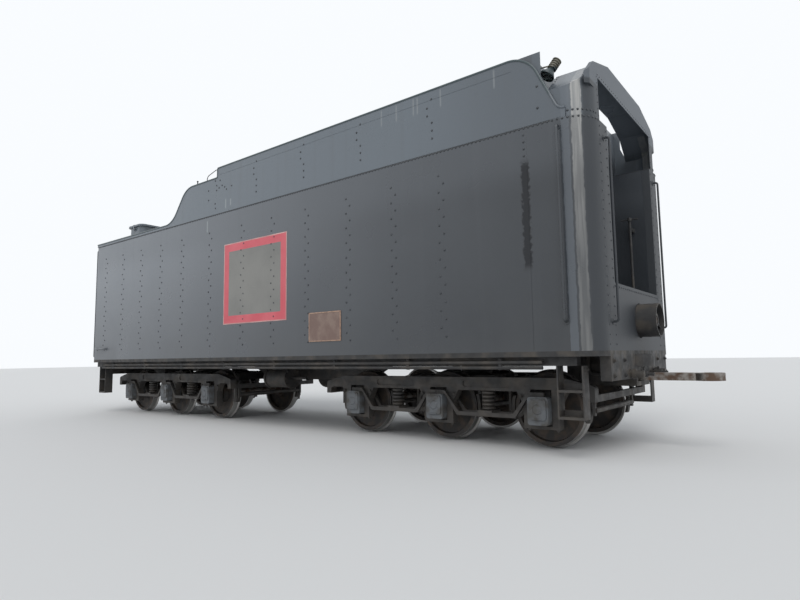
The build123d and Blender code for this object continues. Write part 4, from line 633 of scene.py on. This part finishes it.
def stamp_bolts(name, seats, across=0.034, body="tender", finish=grimy_iron):
    """One piece with a washer, a nut and a rod's end at every seat."""
    washer, nut, rod_end = (12, 0.8, 0.16), (6, 0.58, 0.62), (8, 0.3, 0.85)
    bolts = bmesh.new()
    for place in seats:
        for part in (washer, nut, rod_end):
            sides, radius, height = part[0], across * part[1], across * part[2]
            lift = Matrix.Translation((0, 0, height / 2))
            verts = turned_round(bolts, place @ lift, sides, radius, radius, height)
            if part is nut:
                top = max({face for vert in verts for face in vert.link_faces},
                          key=lambda face: (place.inverted() @ face.calc_center_median()).z)
                soften(bolts, list(top.edges), across * 0.07, segments=1)
    finished(name, bolts, [finish], body, crease=30.0)


print("bolt stamp ready")

# %% [markdown]
# Straps, cleats, strips and plates are all flat bars with their sharp edges taken off. A unit
# cube stretched between two corners and bevelled is the shortest way to one. The bevel's width
# is small, so it only shows as a thin line of light along the edge.

# %% Make a cutter for flat bars
def flat_bar(shape, first, second, bevel=0.0015):
    """A bevelled block between two opposite corners, added to a bmesh."""
    first, second = Vector(first), Vector(second)
    size = [abs(a - b) for a, b in zip(first, second)]
    place = Matrix.Translation((first + second) / 2) @ Matrix.Diagonal((*size, 1))
    block = bmesh.ops.create_cube(shape, size=1.0, matrix=place)
    edges = dict.fromkeys(edge for vert in block["verts"] for edge in vert.link_edges)
    soften(shape, list(edges), bevel)


print("flat bars can be cut")

# %% [markdown]
# Handles and small braces are bent from round rod. The rod starts as a disc that is pulled
# straight out and then swung round a bend, again and again. Pulling is an extrusion of the disc
# and a move; swinging is a spin of the same disc about the bend's middle.

# %% Make a bender for round rod
def bent_rod(shape, start, direction, radius, moves):
    """A rod that starts at a point and follows (length, bend angle, axis, bend radius) moves."""
    heading = Vector(direction).normalized()
    disc = bmesh.ops.create_circle(shape, cap_ends=True, radius=radius, segments=8,
                                   matrix=seat(start, heading))
    face = disc["verts"][0].link_faces[0]
    place = Vector(start)
    for length, angle, axis, bend in moves:
        face = bmesh.ops.extrude_discrete_faces(shape, faces=[face])["faces"][0]
        bmesh.ops.translate(shape, vec=heading * length, verts=list(face.verts))
        place += heading * length
        if angle:
            axis = Vector(axis)
            centre = place + axis.cross(heading) * bend
            swing = math.radians(angle)
            swept = bmesh.ops.spin(shape, geom=[face], cent=centre, axis=axis, dvec=(0, 0, 0),
                                   angle=swing, steps=5, use_duplicate=False)
            face = next(item for item in swept["geom_last"]
                        if isinstance(item, bmesh.types.BMFace))
            turned = Matrix.Rotation(swing, 3, axis)
            place = centre + turned @ (place - centre)
            heading = turned @ heading


def pull_handle(shape, foot, outward, axis):
    """A handle of rod with two bends, standing on a plate on both its feet."""
    arm, grip, bend = 0.03, 0.1, 0.02
    bent_rod(shape, foot, outward, 0.008,
             [(arm, 90, axis, bend), (grip, 90, axis, bend), (arm, 0, axis, 0)])


print("rods can be bent")

# %% [markdown]
# The sides are riveted in upright columns where braces stand behind the sheet, and the rivets of
# a column step left and right in turn, so that no two holes weaken the plate along one line.
# Above the seam the columns are shorter. A few odd rivets hold the bunker's step.

# %% Rivet the sides in staggered columns
pitch, upper_pitch = 0.109, 0.107
column_gap = 0.072
lower_start, upper_start = deck - 0.318, deck + 0.742
lower_columns = (0.516, 1.299, 2.082, 2.865, 3.636, 4.554, 5.509, 6.31, 7.118, 7.991, 8.837, 9.62)
upper_columns = (5.83, 7.01, 8.21, 9.467)
odd_rivets = (
    (4.638, 0.641), (4.785, 0.623), (4.679, 0.547), (4.849, 0.516), (4.758, 0.488),
    (4.926, 0.473), (4.982, 0.421), (5.135, 0.454), (4.682, 0.454), (4.643, 0.21),
    (4.655, 0.121), (4.434, 0.311), (4.428, 0.493), (10.937, 0.45), (10.935, 0.19),
)
for hand, name in named_hands:
    spots = []
    for place in lower_columns:
        for step in range(20):
            x = rear + place - (0 if step % 2 else column_gap)
            spots.append((x, lower_start - step * pitch))
    for place in upper_columns:
        for step, shift in enumerate((0, 1, 1, 0, 0, 0)):
            spots.append((rear + place - shift * column_gap, upper_start - step * upper_pitch))
    spots += [(rear + x, deck + z) for x, z in odd_rivets]
    seats = [seat((x, hand * side, z), (0, hand, 0)) for x, z in spots]
    stamp_rivets(f"side_rivets_{name}", seats)

# %% [markdown]
# The long seam where the bunker plates meet the tank has a row of rivets close together, and it
# runs on round the front corners as two rows, one on the tank and one on the hood's foot. The
# row steps along the side at an even pitch and then around the corner's arc at nearly the same.
# A short column crosses it just behind the corner.

# %% Rivet the long seam and its corners
def corner_row(hand, height, radius, pitch):
    """Seats round one front corner of the tank or hood at a height."""
    middle = Vector((corner_start, hand * (side - corner_radius), height))
    count = round(math.pi / 2 * radius / pitch)
    angles = [math.pi / 2 * step / count for step in range(count + 1)]
    outwards = [Vector((math.sin(angle), hand * math.cos(angle), 0)) for angle in angles]
    return [seat(middle + outward * radius, outward) for outward in outwards]


seam_pitch = 0.058
seam_z, hood_row_z = deck - 0.006, deck + 0.075
hood_radius = corner_radius - (side - hood_high.y)
short_column = rear + 10.745
for hand, name in named_hands:
    outward, y, hood_y = (0, hand, 0), hand * side, hand * hood_high.y
    seats = row((rear + 0.08, y, seam_z), (corner_start - 0.06, y, seam_z), outward, seam_pitch)
    seats += row((short_column, y, deck - 0.085), (short_column, y, deck - 0.421), outward, 0.084)
    seats += corner_row(hand, deck - 0.012, corner_radius, seam_pitch)
    seats += corner_row(hand, hood_row_z, hood_radius, seam_pitch)
    seats += row((hood_low.x + 0.02, hood_y, hood_row_z), (corner_start - 0.05, hood_y, hood_row_z),
                 outward, seam_pitch)
    stamp_rivets(f"seam_rivets_{name}", seats, 0.0145)

# %% [markdown]
# The rear face has its own columns, and rows along its top and foot. The front face is cut by
# the gangway, so its rivets run up the two water legs beside it.

# %% Rivet the rear face and the water legs
backward, forward, skyward = (-1, 0, 0), (1, 0, 0), (0, 0, 1)
seats = []
for y in (-1.42, -0.94, -0.47, 0.0, 0.47, 0.94, 1.42):
    for step in range(23):
        shifted = y + (0.0 if step % 2 else 0.036)
        seats.append(seat((rear, shifted, deck - 0.1 - step * pitch), backward))
for z in (deck - 0.04, tank_foot + 0.05):
    seats += row((rear, -side + 0.07, z), (rear, side - 0.07, z), backward, 0.06)
stamp_rivets("rear_rivets", seats)

gangway_half = 0.95
gangway_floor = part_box("coal_gate_bulkhead")[0].z
floor_edge_z = gangway_floor - 0.04
seats = row((front, -gangway_half, floor_edge_z), (front, gangway_half, floor_edge_z),
            forward, 0.08)
for y in (gangway_half + 0.05, side - corner_radius - 0.03):
    seats += rows((front, y, tank_foot + 0.07), (front, y, deck - 0.07), forward, pitch)
stamp_rivets("water_leg_rivets", seats, 0.013)

# %% [markdown]
# The hood is bent from thin sheet over an angle frame, and closely set rivets follow the frame
# along the roof's front and rear edges and up the posts beside the opening. On the slopes each
# seat leans with the roof, so its outward direction is worked out from the slope's two ends.

# %% Rivet the hood along its frame
hood_pitch = 0.075
eave = Vector((0, hood_high.y, deck + 0.369))
knee = Vector((0, side - 0.31, deck + 0.649))
crown = Vector((0, side - 0.85, deck + 0.809))
post = side - 0.42
post_row, hood_x, lintel_z = post + 0.035, hood_high.x, deck + 0.575
seats = row((hood_x, -post, lintel_z), (hood_x, post, lintel_z), forward, hood_pitch)
seats += rows((hood_x, post_row, deck + 0.08), (hood_x, post_row, deck + 0.54), forward, hood_pitch)
for x in (hood_low.x + 0.03, hood_x - 0.075):
    along = Vector((x, 0, 0))
    seats += row((x, -crown.y, crown.z), (x, crown.y, crown.z), skyward, hood_pitch)
    for start, end in ((eave, knee), (knee, crown)):
        lean_out = (0, end.z - start.z, start.y - end.y)
        first = 0.42 if start is eave and x > corner_start else 0.06
        seats += rows(along + start.lerp(end, first), along + start.lerp(end, 0.94),
                      lean_out, hood_pitch)
stamp_rivets("hood_rivets", seats, 0.009)

# %% [markdown]
# Inside the bunker the bulkhead is riveted to its braces and to the deck. The deck's sheets are
# riveted in rows over the frames below, which stop short of the manholes, and a closer row goes
# round each manhole's foot.

# %% Rivet the bulkhead and the deck
plate_back = bulk_plate_x - 0.005
seats = []
for y in (-1.1, -0.55, 0.0, 0.55, 1.1):
    for shifted in (y - 0.035, y + 0.035):
        seats += row((plate_back, shifted, deck + 0.06), (plate_back, shifted, bulk_high.z - 0.1),
                     backward, 0.11)
seats += row((plate_back, -side + 0.06, deck + 0.03), (plate_back, side - 0.06, deck + 0.03),
             backward, 0.09)

rim_low, rim_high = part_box("manhole_rims")
manhole_half = 0.31
manhole = Vector(((rim_low.x + rim_high.x) / 2, rim_high.y - manhole_half, deck))
for place in lower_columns[:4]:
    x = rear + place
    for spot in row((x, -side + 0.06, deck), (x, side - 0.06, deck), skyward, pitch):
        away = abs(spot.translation.y)
        if abs(x - manhole.x) > 0.36 or abs(away - manhole.y) > 0.4:
            seats.append(spot)
for x in (manhole.x - 0.33, manhole.x + 0.33):
    seats += rows((x, manhole.y - 0.3, deck), (x, manhole.y + 0.3, deck), skyward, 0.075)
for y in (manhole.y - 0.36, manhole.y + 0.36):
    seats += rows((manhole.x - 0.27, y, deck), (manhole.x + 0.27, y, deck), skyward, 0.075)
stamp_rivets("deck_rivets", seats, 0.011)

# %% [markdown]
# Ties cross the bunker and keep its sides from spreading under the coal. Each end has a round
# flange, held by four bolts. A ring of seats about the flange's middle places them.

# %% Bolt the bunker's ties
tie_low, tie_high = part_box("bunker_ties")
tie_z = (tie_low.z + tie_high.z) / 2
seats = []
for place in (tie_low.x + 0.07, (tie_low.x + tie_high.x) / 2, tie_high.x - 0.07):
    for hand in both_hands:
        seats += ring((place, hand * (tie_high.y - 0.02), tie_z), (0, -hand, 0), 0.05, 4)
stamp_bolts("tie_bolts", seats, 0.02, finish=tank_paint)

# %% [markdown]
# A manhole's lid is a heavy flanged plate. Two ribs stiffen it, a bent handle lifts it, and a
# hasp folds down over its outer edge to a staple on the rim. The lid swings, so its ribs, handle
# and hasp ride on the lid's own body, and the staple stays with the tank.

# %% Furnish the manhole lids
hasp_half, hasp_thick = 0.025, 0.006
for hand, name in named_hands:
    lid_low, lid_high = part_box(f"manhole_lid_{name}")
    outer = hand * max(abs(lid_low.y), abs(lid_high.y))
    inner = hand * min(abs(lid_low.y), abs(lid_high.y))
    x, top, foot = (lid_low.x + lid_high.x) / 2, lid_high.z, lid_low.z
    past_edge = outer + hand * hasp_thick
    furniture = bmesh.new()
    for shifted in (x - 0.15, x + 0.15):
        flat_bar(furniture, (shifted - 0.02, outer - hand * 0.06, top - 0.001),
                 (shifted + 0.02, inner + hand * 0.05, top + 0.014), 0.003)
    pull_handle(furniture, (x - 0.07, outer - hand * 0.12, top - 0.01), skyward, (0, 1, 0))
    flat_bar(furniture, (x - hasp_half, outer - hand * 0.05, top - 0.001),
             (x + hasp_half, past_edge, top + hasp_thick), 0.002)
    flat_bar(furniture, (x - hasp_half, outer, top + 0.004),
             (x + hasp_half, past_edge, foot - 0.075), 0.002)
    finished(f"lid_furniture_{name}", furniture, [tank_paint], f"manhole_lid_{name}")

    staple = bmesh.new()
    rim_outer = hand * (manhole.y + manhole_half)
    flat_bar(staple, (x - 0.03, rim_outer - hand * 0.002, foot - 0.1),
             (x + 0.03, rim_outer + hand * 0.006, foot - 0.03), 0.002)
    arm, bend, axis = 0.012, 0.012, (-hand, 0, 0)
    bent_rod(staple, (x, rim_outer, foot - 0.05), (0, hand, 0), 0.005,
             [(arm, 90, axis, bend), (0.006, 90, axis, bend), (arm, 0, axis, 0)])
    finished(f"lid_staple_{name}", staple, [tank_paint])

# %% [markdown]
# A handrail's end goes through a small round flange that is riveted to the plate. Without it the
# rod would seem to grow out of the tank. Each end is a point and the way that its plate faces.

# %% Hold the handrails
corner_x, rail_foot = front - 0.35, tank_foot + 0.319
rear_rail_z = tank_foot + 0.239
rail_ends = []
for hand in both_hands:
    leg_y, outward = hand * (gangway_half + 0.15), (0, hand, 0)
    rail_ends += [((corner_x, hand * side, z), outward) for z in (deck - 0.091, rail_foot)]
    rail_ends += [((front, leg_y, z), forward) for z in (deck - 0.181, rail_foot)]
    rail_ends += [((x, hand * side, rear_rail_z), outward) for x in (rear + 0.18, rear + 0.62)]
flanges = bmesh.new()
seats = []
for point, outward in rail_ends:
    place = seat(point, outward) @ Matrix.Translation((0, 0, 0.003))
    turned_round(flanges, place, 20, 0.036, 0.034, 0.008)
    seats += [spot @ Matrix.Translation((0, 0, 0.007)) for spot in ring(point, outward, 0.026, 3)]
finished("rail_flanges", flanges, [tank_paint])
stamp_rivets("rail_flange_rivets", seats, 0.005)

# %% [markdown]
# A ladder stile ends on a flat foot with two bolts, and the steps hang from the sill by bolts
# through their hangers. The feet are short flat bars, set against the rear plate.

# %% Hold the ladders and the steps
ladder_low, ladder_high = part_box("rear_ladders")
feet = bmesh.new()
seats = []
for hand in both_hands:
    for y in (hand * (side - 0.4), hand * (side - 0.06)):
        for z in (ladder_high.z - 0.006, ladder_low.z + 0.006):
            flat_bar(feet, (rear - 0.008, y - 0.032, z - 0.045),
                     (rear + 0.001, y + 0.032, z + 0.045), 0.002)
            seats += [seat((rear - 0.008, y, z + lift), backward) for lift in (-0.03, 0.03)]
finished("ladder_feet", feet, [tank_paint])
stamp_bolts("ladder_bolts", seats, 0.018, finish=tank_paint)

step_low, step_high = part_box("sill_steps")
hanger_xs = (step_low.x, step_low.x + 0.28, step_high.x - 0.3, step_high.x)
seats = []
for x, outward in zip(hanger_xs, (backward, forward, backward, forward)):
    for hand in both_hands:
        for y in (side - 0.125, side - 0.21):
            seats.append(seat((x, hand * y, bed_foot - 0.04), outward))
stamp_bolts("step_bolts", seats, 0.026)

# %% [markdown]
# Sheets are joined edge to edge under a narrow cover strip, or lapped. At the seam the upper
# sheet laps over the tank; the thin dark line of shadow under it is painted into the tank's paint.
# The bunker's sheet is also folded just below its edge, which shows as one faint line that runs
# along with it.

# %% Cover the joints with strips
strips = bmesh.new()
sunk, raised = 0.001, 0.003
for hand in both_hands:
    skin, face_y = hand * (side - sunk), hand * (side + raised)
    flat_bar(strips, (rear + 0.03, skin, deck + 0.010), (rear + 11.2, face_y, deck + 0.014), 0.001)
    flat_bar(strips, (rear + 4.74, skin, high_edge - 0.136),
             (rear + 10.62, face_y, high_edge - 0.131), 0.001)
    flat_bar(strips, (rear + 10.775, skin, tank_foot + 0.02), (rear + 10.78, face_y, deck - 0.03))
    flat_bar(strips, (front - 0.445, hand * (hood_high.y - sunk), deck + 0.002),
             (corner_start, hand * (hood_high.y + raised), deck + 0.03), 0.001)
finished("joint_strips", strips, [tank_paint])

# %% [markdown]
# A light rod makes a small brace from the bunker's lower edge up to the foot of the step, where
# the sheet is cut back. It is bent twice, so that it leaves the edge upright and meets the step
# level. A short pin with a round knob stands further back on the same edge.

# %% Brace the bunker's step
brace = bmesh.new()
step_z = deck + 0.691
knob_x = rear + 4.054
for hand in both_hands:
    y = hand * (side - 0.005)
    bent_rod(brace, (rear + 4.366, y, step_z - 0.01), skyward, 0.007,
             [(0.03, 76, (0, 1, 0), 0.085), (0.2, 14, (0, 1, 0), 0.15), (0.045, 0, (0, 1, 0), 0)])
    bent_rod(brace, (knob_x, y, step_z - 0.01), skyward, 0.011, [(0.07, 0, (0, 1, 0), 0)])
    bmesh.ops.create_uvsphere(brace, u_segments=12, v_segments=8, radius=0.017,
                              matrix=Matrix.Translation((knob_x, y, step_z + 0.06)))
finished("step_brace", brace, [rivet_paint])

# %% [markdown]
# A large sign is painted on the right side: a red band with a thin pale line round it, on a
# field that is left plain. Each paint mixes two near colours in clouds, as it would have faded,
# where one flat colour would look printed. A fine bump gives it the tooth of brushed paint.

# %% Mix the sign's paints
sign_red = Finish("sign_red", (0.62, 0.075, 0.09), 0.5, slot="sign_red")
sign_red.paint(sign_red.clouds(2.0, 5, 0.3, 0.7), (0.63, 0.105, 0.135), (0.7, 0.155, 0.185))
sign_red.bump(sign_red.noise(60.0, 3), 0.0005)
sign_line = Finish("sign_line", (0.85, 0.6, 0.57), 0.5, slot="sign_red")
sign_line.paint(sign_line.clouds(4.0, 4, 0.3, 0.7), (0.7, 0.45, 0.42), (0.5, 0.28, 0.27))
sign_field = Finish("sign_field", (0.17, 0.175, 0.165), 0.48)
sign_field.paint(sign_field.clouds(1.6, 5, 0.3, 0.7), (0.21, 0.21, 0.2), (0.25, 0.248, 0.235))
sign_field.bump(sign_field.noise(60.0, 3), 0.0005)
print("sign paints mixed")

# %% [markdown]
# The sign is one thin sheet. Its face is inset twice, and each inset leaves a ring that takes its
# own paint, where three sheets in a stack would flicker. The band is about as wide as a hand is
# long. Insetting by a set thickness keeps that width even on all four sides, which scaling a
# smaller copy would not do on a sign that is wider than it is high.

# %% Paint the blank sign
sign_back, sign_front = rear + 4.955, rear + 6.625
sign_foot, sign_top = 1.752, 3.18
line_width, band_width = 0.022, 0.185
sign = bmesh.new()
flat_bar(sign, (sign_back, -side - 0.003, sign_foot), (sign_front, -side + 0.001, sign_top), 0.0005)
face = min(sign.faces, key=lambda f: f.calc_center_median().y)
bmesh.ops.inset_region(sign, faces=[face], thickness=line_width)
face.material_index = 1
bmesh.ops.inset_region(sign, faces=[face], thickness=band_width)
face.material_index = 2
finished("blank_sign", sign, [sign_line, sign_red, sign_field])
print(f"sign {sign_front - sign_back:.2f} by {sign_top - sign_foot:.2f} m")

# %% [markdown]
# A cast bronze plaque is screwed to the side further forward. Its rim stands a little proud and
# is rubbed brighter than its field, which is left blank. The rim is an inset ring, and pushing
# the field back by a few millimetres gives the step that catches light.

# %% Cast the blank plaque
plaque_bronze = Finish("plaque_bronze", (0.2, 0.135, 0.11), 0.45, 0.35, slot="plaque_bronze")
tarnish = plaque_bronze.clouds(8.0, 5, 0.35, 0.7)
plaque_bronze.paint(tarnish, (0.2, 0.135, 0.115), (0.26, 0.19, 0.16))
plaque_bronze.bump(plaque_bronze.noise(45.0, 4), 0.0012)
plaque_rim = Finish("plaque_rim", (0.42, 0.27, 0.2), 0.4, 0.4, slot="plaque_bronze")
plaque_rim.paint(plaque_rim.clouds(20.0, 4, 0.35, 0.7), (0.46, 0.3, 0.22), (0.3, 0.2, 0.15))

plaque_back, plaque_front = rear + 7.144, rear + 7.812
plaque_foot, plaque_top = 1.39, 1.83
plaque_face = -side - 0.012
plaque = bmesh.new()
flat_bar(plaque, (plaque_back, plaque_face, plaque_foot),
         (plaque_front, -side + 0.001, plaque_top), 0.003)
for face in plaque.faces:
    face.material_index = 1
field = min(plaque.faces, key=lambda f: f.calc_center_median().y)
bmesh.ops.inset_region(plaque, faces=[field], thickness=0.018)
field.material_index = 0
bmesh.ops.inset_region(plaque, faces=[field], thickness=0.006, depth=-0.004)
field.material_index = 0
finished("blank_plaque", plaque, [plaque_bronze, plaque_rim])
seats = [seat((x, plaque_face, z), (0, -1, 0)) for x in (plaque_back + 0.009, plaque_front - 0.009)
         for z in (plaque_foot + 0.009, plaque_top - 0.009)]
stamp_rivets("plaque_screws", seats, 0.005, finish=plaque_rim)

# %% [markdown]
# The coal gates are opened by hand, so each leaf has a bent handle, and its straps are riveted
# through the plate. These ride on the leaves. The wing plates and the gate bulkhead stay put,
# and are riveted along their edges.

# %% Furnish the coal gates and rivet what frames them
for hand, name in named_hands:
    leaf_low, leaf_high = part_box(f"coal_gate_{name}")
    seats = [seat((leaf_high.x, hand * y, leaf_low.z + 0.008 + height), forward)
             for height in (0.2, 0.5, 0.8) for y in (0.1, 0.25, 0.4)]
    stamp_rivets(f"gate_strap_rivets_{name}", seats, 0.009, f"coal_gate_{name}")
    handle = bmesh.new()
    pull_handle(handle, (leaf_high.x - 0.014, hand * 0.12, leaf_low.z + 0.58), forward, (0, -1, 0))
    finished(f"gate_handle_{name}", handle, [rubbed_steel], f"coal_gate_{name}")

face_x, frame_pitch = gate_x + 0.01, 0.11
gate_y, gate_row_z = gangway_half - 0.05, high_edge - 0.07
wing_y, wing_row_z = wing_high.y - 0.01, high_edge - 0.03
seats = row((face_x, -gangway_half + 0.1, gate_row_z), (face_x, gangway_half - 0.1, gate_row_z),
            forward, frame_pitch)
seats += rows((face_x, gate_y, gangway_floor + 0.05), (face_x, gate_y, high_edge - 0.09),
              forward, frame_pitch)
seats += rows((front - 0.57, wing_y, wing_row_z), (wing_low.x + 0.03, wing_y, wing_row_z),
              (0, -1, 0), 0.08)
stamp_rivets("gate_frame_rivets", seats, 0.01)

# %% [markdown]
# A journal box is closed by a sprung lid. The pressed boss in its middle stiffens it, the lip at
# its foot is what a hand or hook lifts, and the hinge pin ends in a bolt on each side. Each truck
# swivels, so everything on it rides on that truck's body.

# %% Furnish the trucks
for end in ("rear", "front"):
    wheel_boxes = [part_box(f"wheels_{end}_{number}") for number in (1, 2, 3)]
    axle_z = wheel_boxes[0][1].z / 2
    lid_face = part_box(f"journal_boxes_{end}")[1].y - 0.0055
    lids = bmesh.new()
    hinge_seats, tie_seats, shoulder_seats = [], [], []
    for x in ((low.x + high.x) / 2 for low, high in wheel_boxes):
        for hand in both_hands:
            boss = seat((x, hand * lid_face, axle_z + 0.02), (0, hand, 0))
            turned_round(lids, boss @ Matrix.Translation((0, 0, 0.004)), 20, 0.066, 0.05, 0.014)
            flat_bar(lids, (x - 0.05, hand * (lid_face - 0.004), axle_z - 0.1),
                     (x + 0.05, hand * (lid_face + 0.012), axle_z - 0.088), 0.002)
            hinge_y, tie_y, shoulder_y = (hand * y for y in (lid_face - 0.0075, 0.99, 1.05))
            for turned in (-1, 1):
                hinge_seats.append(seat((x + turned * 0.065, hinge_y, axle_z + 0.134),
                                        (turned, 0, 0)))
                tie_seats.append(seat((x + turned * 0.18, tie_y, axle_z - 0.2206), (0, 0, -1)))
                shoulder_seats.append(seat((x + turned * 0.255, shoulder_y, axle_z + 0.165),
                                           (0, hand, 0)))
    finished(f"box_lid_bosses_{end}", lids, [box_grey], f"truck_{end}")
    stamp_bolts(f"box_hinge_bolts_{end}", hinge_seats, 0.016, f"truck_{end}")
    stamp_bolts(f"pedestal_bolts_{end}", tie_seats + shoulder_seats, 0.038, f"truck_{end}")

# %% [markdown]
# Under the tank the big castings are bolted together. The coupler's wear face and the end sills
# show their bolt heads, and the brake cylinder's heads are held by a ring of them. The strainers
# under the front and the clips of the side pipes have smaller ones.

# %% Bolt the underframe and what hangs from it
striker_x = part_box("underframe")[0].x
seats = [seat((striker_x, hand * 0.185, z), backward) for hand in both_hands for z in (0.79, 0.985)]
for hand in both_hands:
    for y in (0.35, 0.75, 1.15):
        for z in (bed_foot + 0.05, bed_foot - 0.12):
            seats.append(seat((rear, hand * y, z), backward))
            if y > 0.6:
                seats.append(seat((front, hand * y, z), forward))
cylinder_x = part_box("brake_cylinder")[0].x
for x, outward in ((cylinder_x, backward), (cylinder_x + 0.57, forward)):
    seats += ring((x, -0.64, 0.8), outward, 0.165, 8)
stamp_bolts("frame_bolts", seats, 0.034)

seats = []
for hand in both_hands:
    seats += ring((front - 0.25, hand * 0.52, bed_foot - 0.18), (0, 0, -1), 0.082, 6)
stamp_bolts("strainer_bolts", seats, 0.022)

seats = []
pipe_low, pipe_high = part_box("side_pipes")
for clip in range(8):
    x = pipe_low.x + 0.525 + (pipe_high.x - pipe_low.x - 1.05) * clip / 7
    for hand in both_hands:
        seats.append(seat((x, hand * (side - 0.04), tank_foot - 0.075), (0, hand, 0)))
stamp_bolts("pipe_clip_bolts", seats, 0.02)

# %% [markdown]
# The knuckle of the coupler turns on a steel pin that drops in from above. Its round head shows
# on top. Both its rims are bevelled, the way a forged head's are.

# %% Drop in the knuckle's pin
coupler_low, coupler_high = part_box("coupler_body")
pin_head = bmesh.new()
turned_round(pin_head, Matrix.Translation((coupler_low.x + 0.22, -0.135, coupler_high.z)),
             24, 0.034, 0.03, 0.016)
rims = [edge for edge in pin_head.edges if abs(edge.verts[0].co.z - edge.verts[1].co.z) < 0.001]
soften(pin_head, rims, 0.003)
finished("knuckle_pin_head", pin_head, [rubbed_steel], "coupler")

# %% [markdown]
# Both lamps are clamped by small bolts: four round the backing lamp's foot and two on the flood
# lamp's bracket. The hand brake's wheel is held by a nut on top of its staff.

# %% Fasten the lamps and the brake wheel
lamp_x = rear + 0.23
seats = [seat((lamp_x + x, y, deck + 0.014), skyward) for x in (-0.065, 0.065) for y in (-0.1, 0.1)]
bracket_x, bracket_y, bracket_z = front - 0.54 - 0.045, 0.029 - wing_high.y, high_edge - 0.19
seats += [seat((bracket_x + x, bracket_y, bracket_z - 0.018), (0, 1, 0)) for x in (-0.024, 0.024)]
brake_low, brake_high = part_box("hand_brake")
staff_x, staff_y = (brake_low.x + brake_high.x) / 2, side - 0.6 - 0.14
seats.append(seat((staff_x, staff_y, brake_high.z), skyward))
stamp_bolts("lamp_bolts", seats, 0.018, finish=tank_paint)

# %% [markdown]
# The floor is a plain pale sheet, larger than the view, that catches the shadow.

# %% Lay the floor
floor_half = 120.0
floor_paint = Finish("floor_paint", (0.78, 0.79, 0.8), 0.9)
floor_mesh = bmesh.new()
bmesh.ops.create_grid(floor_mesh, x_segments=1, y_segments=1, size=floor_half)
floor_data = bpy.data.meshes.new("floor")
floor_mesh.to_mesh(floor_data)
floor_mesh.free()
floor_data.materials.append(floor_paint.material)
stand("floor", floor_data)
print("floor laid")
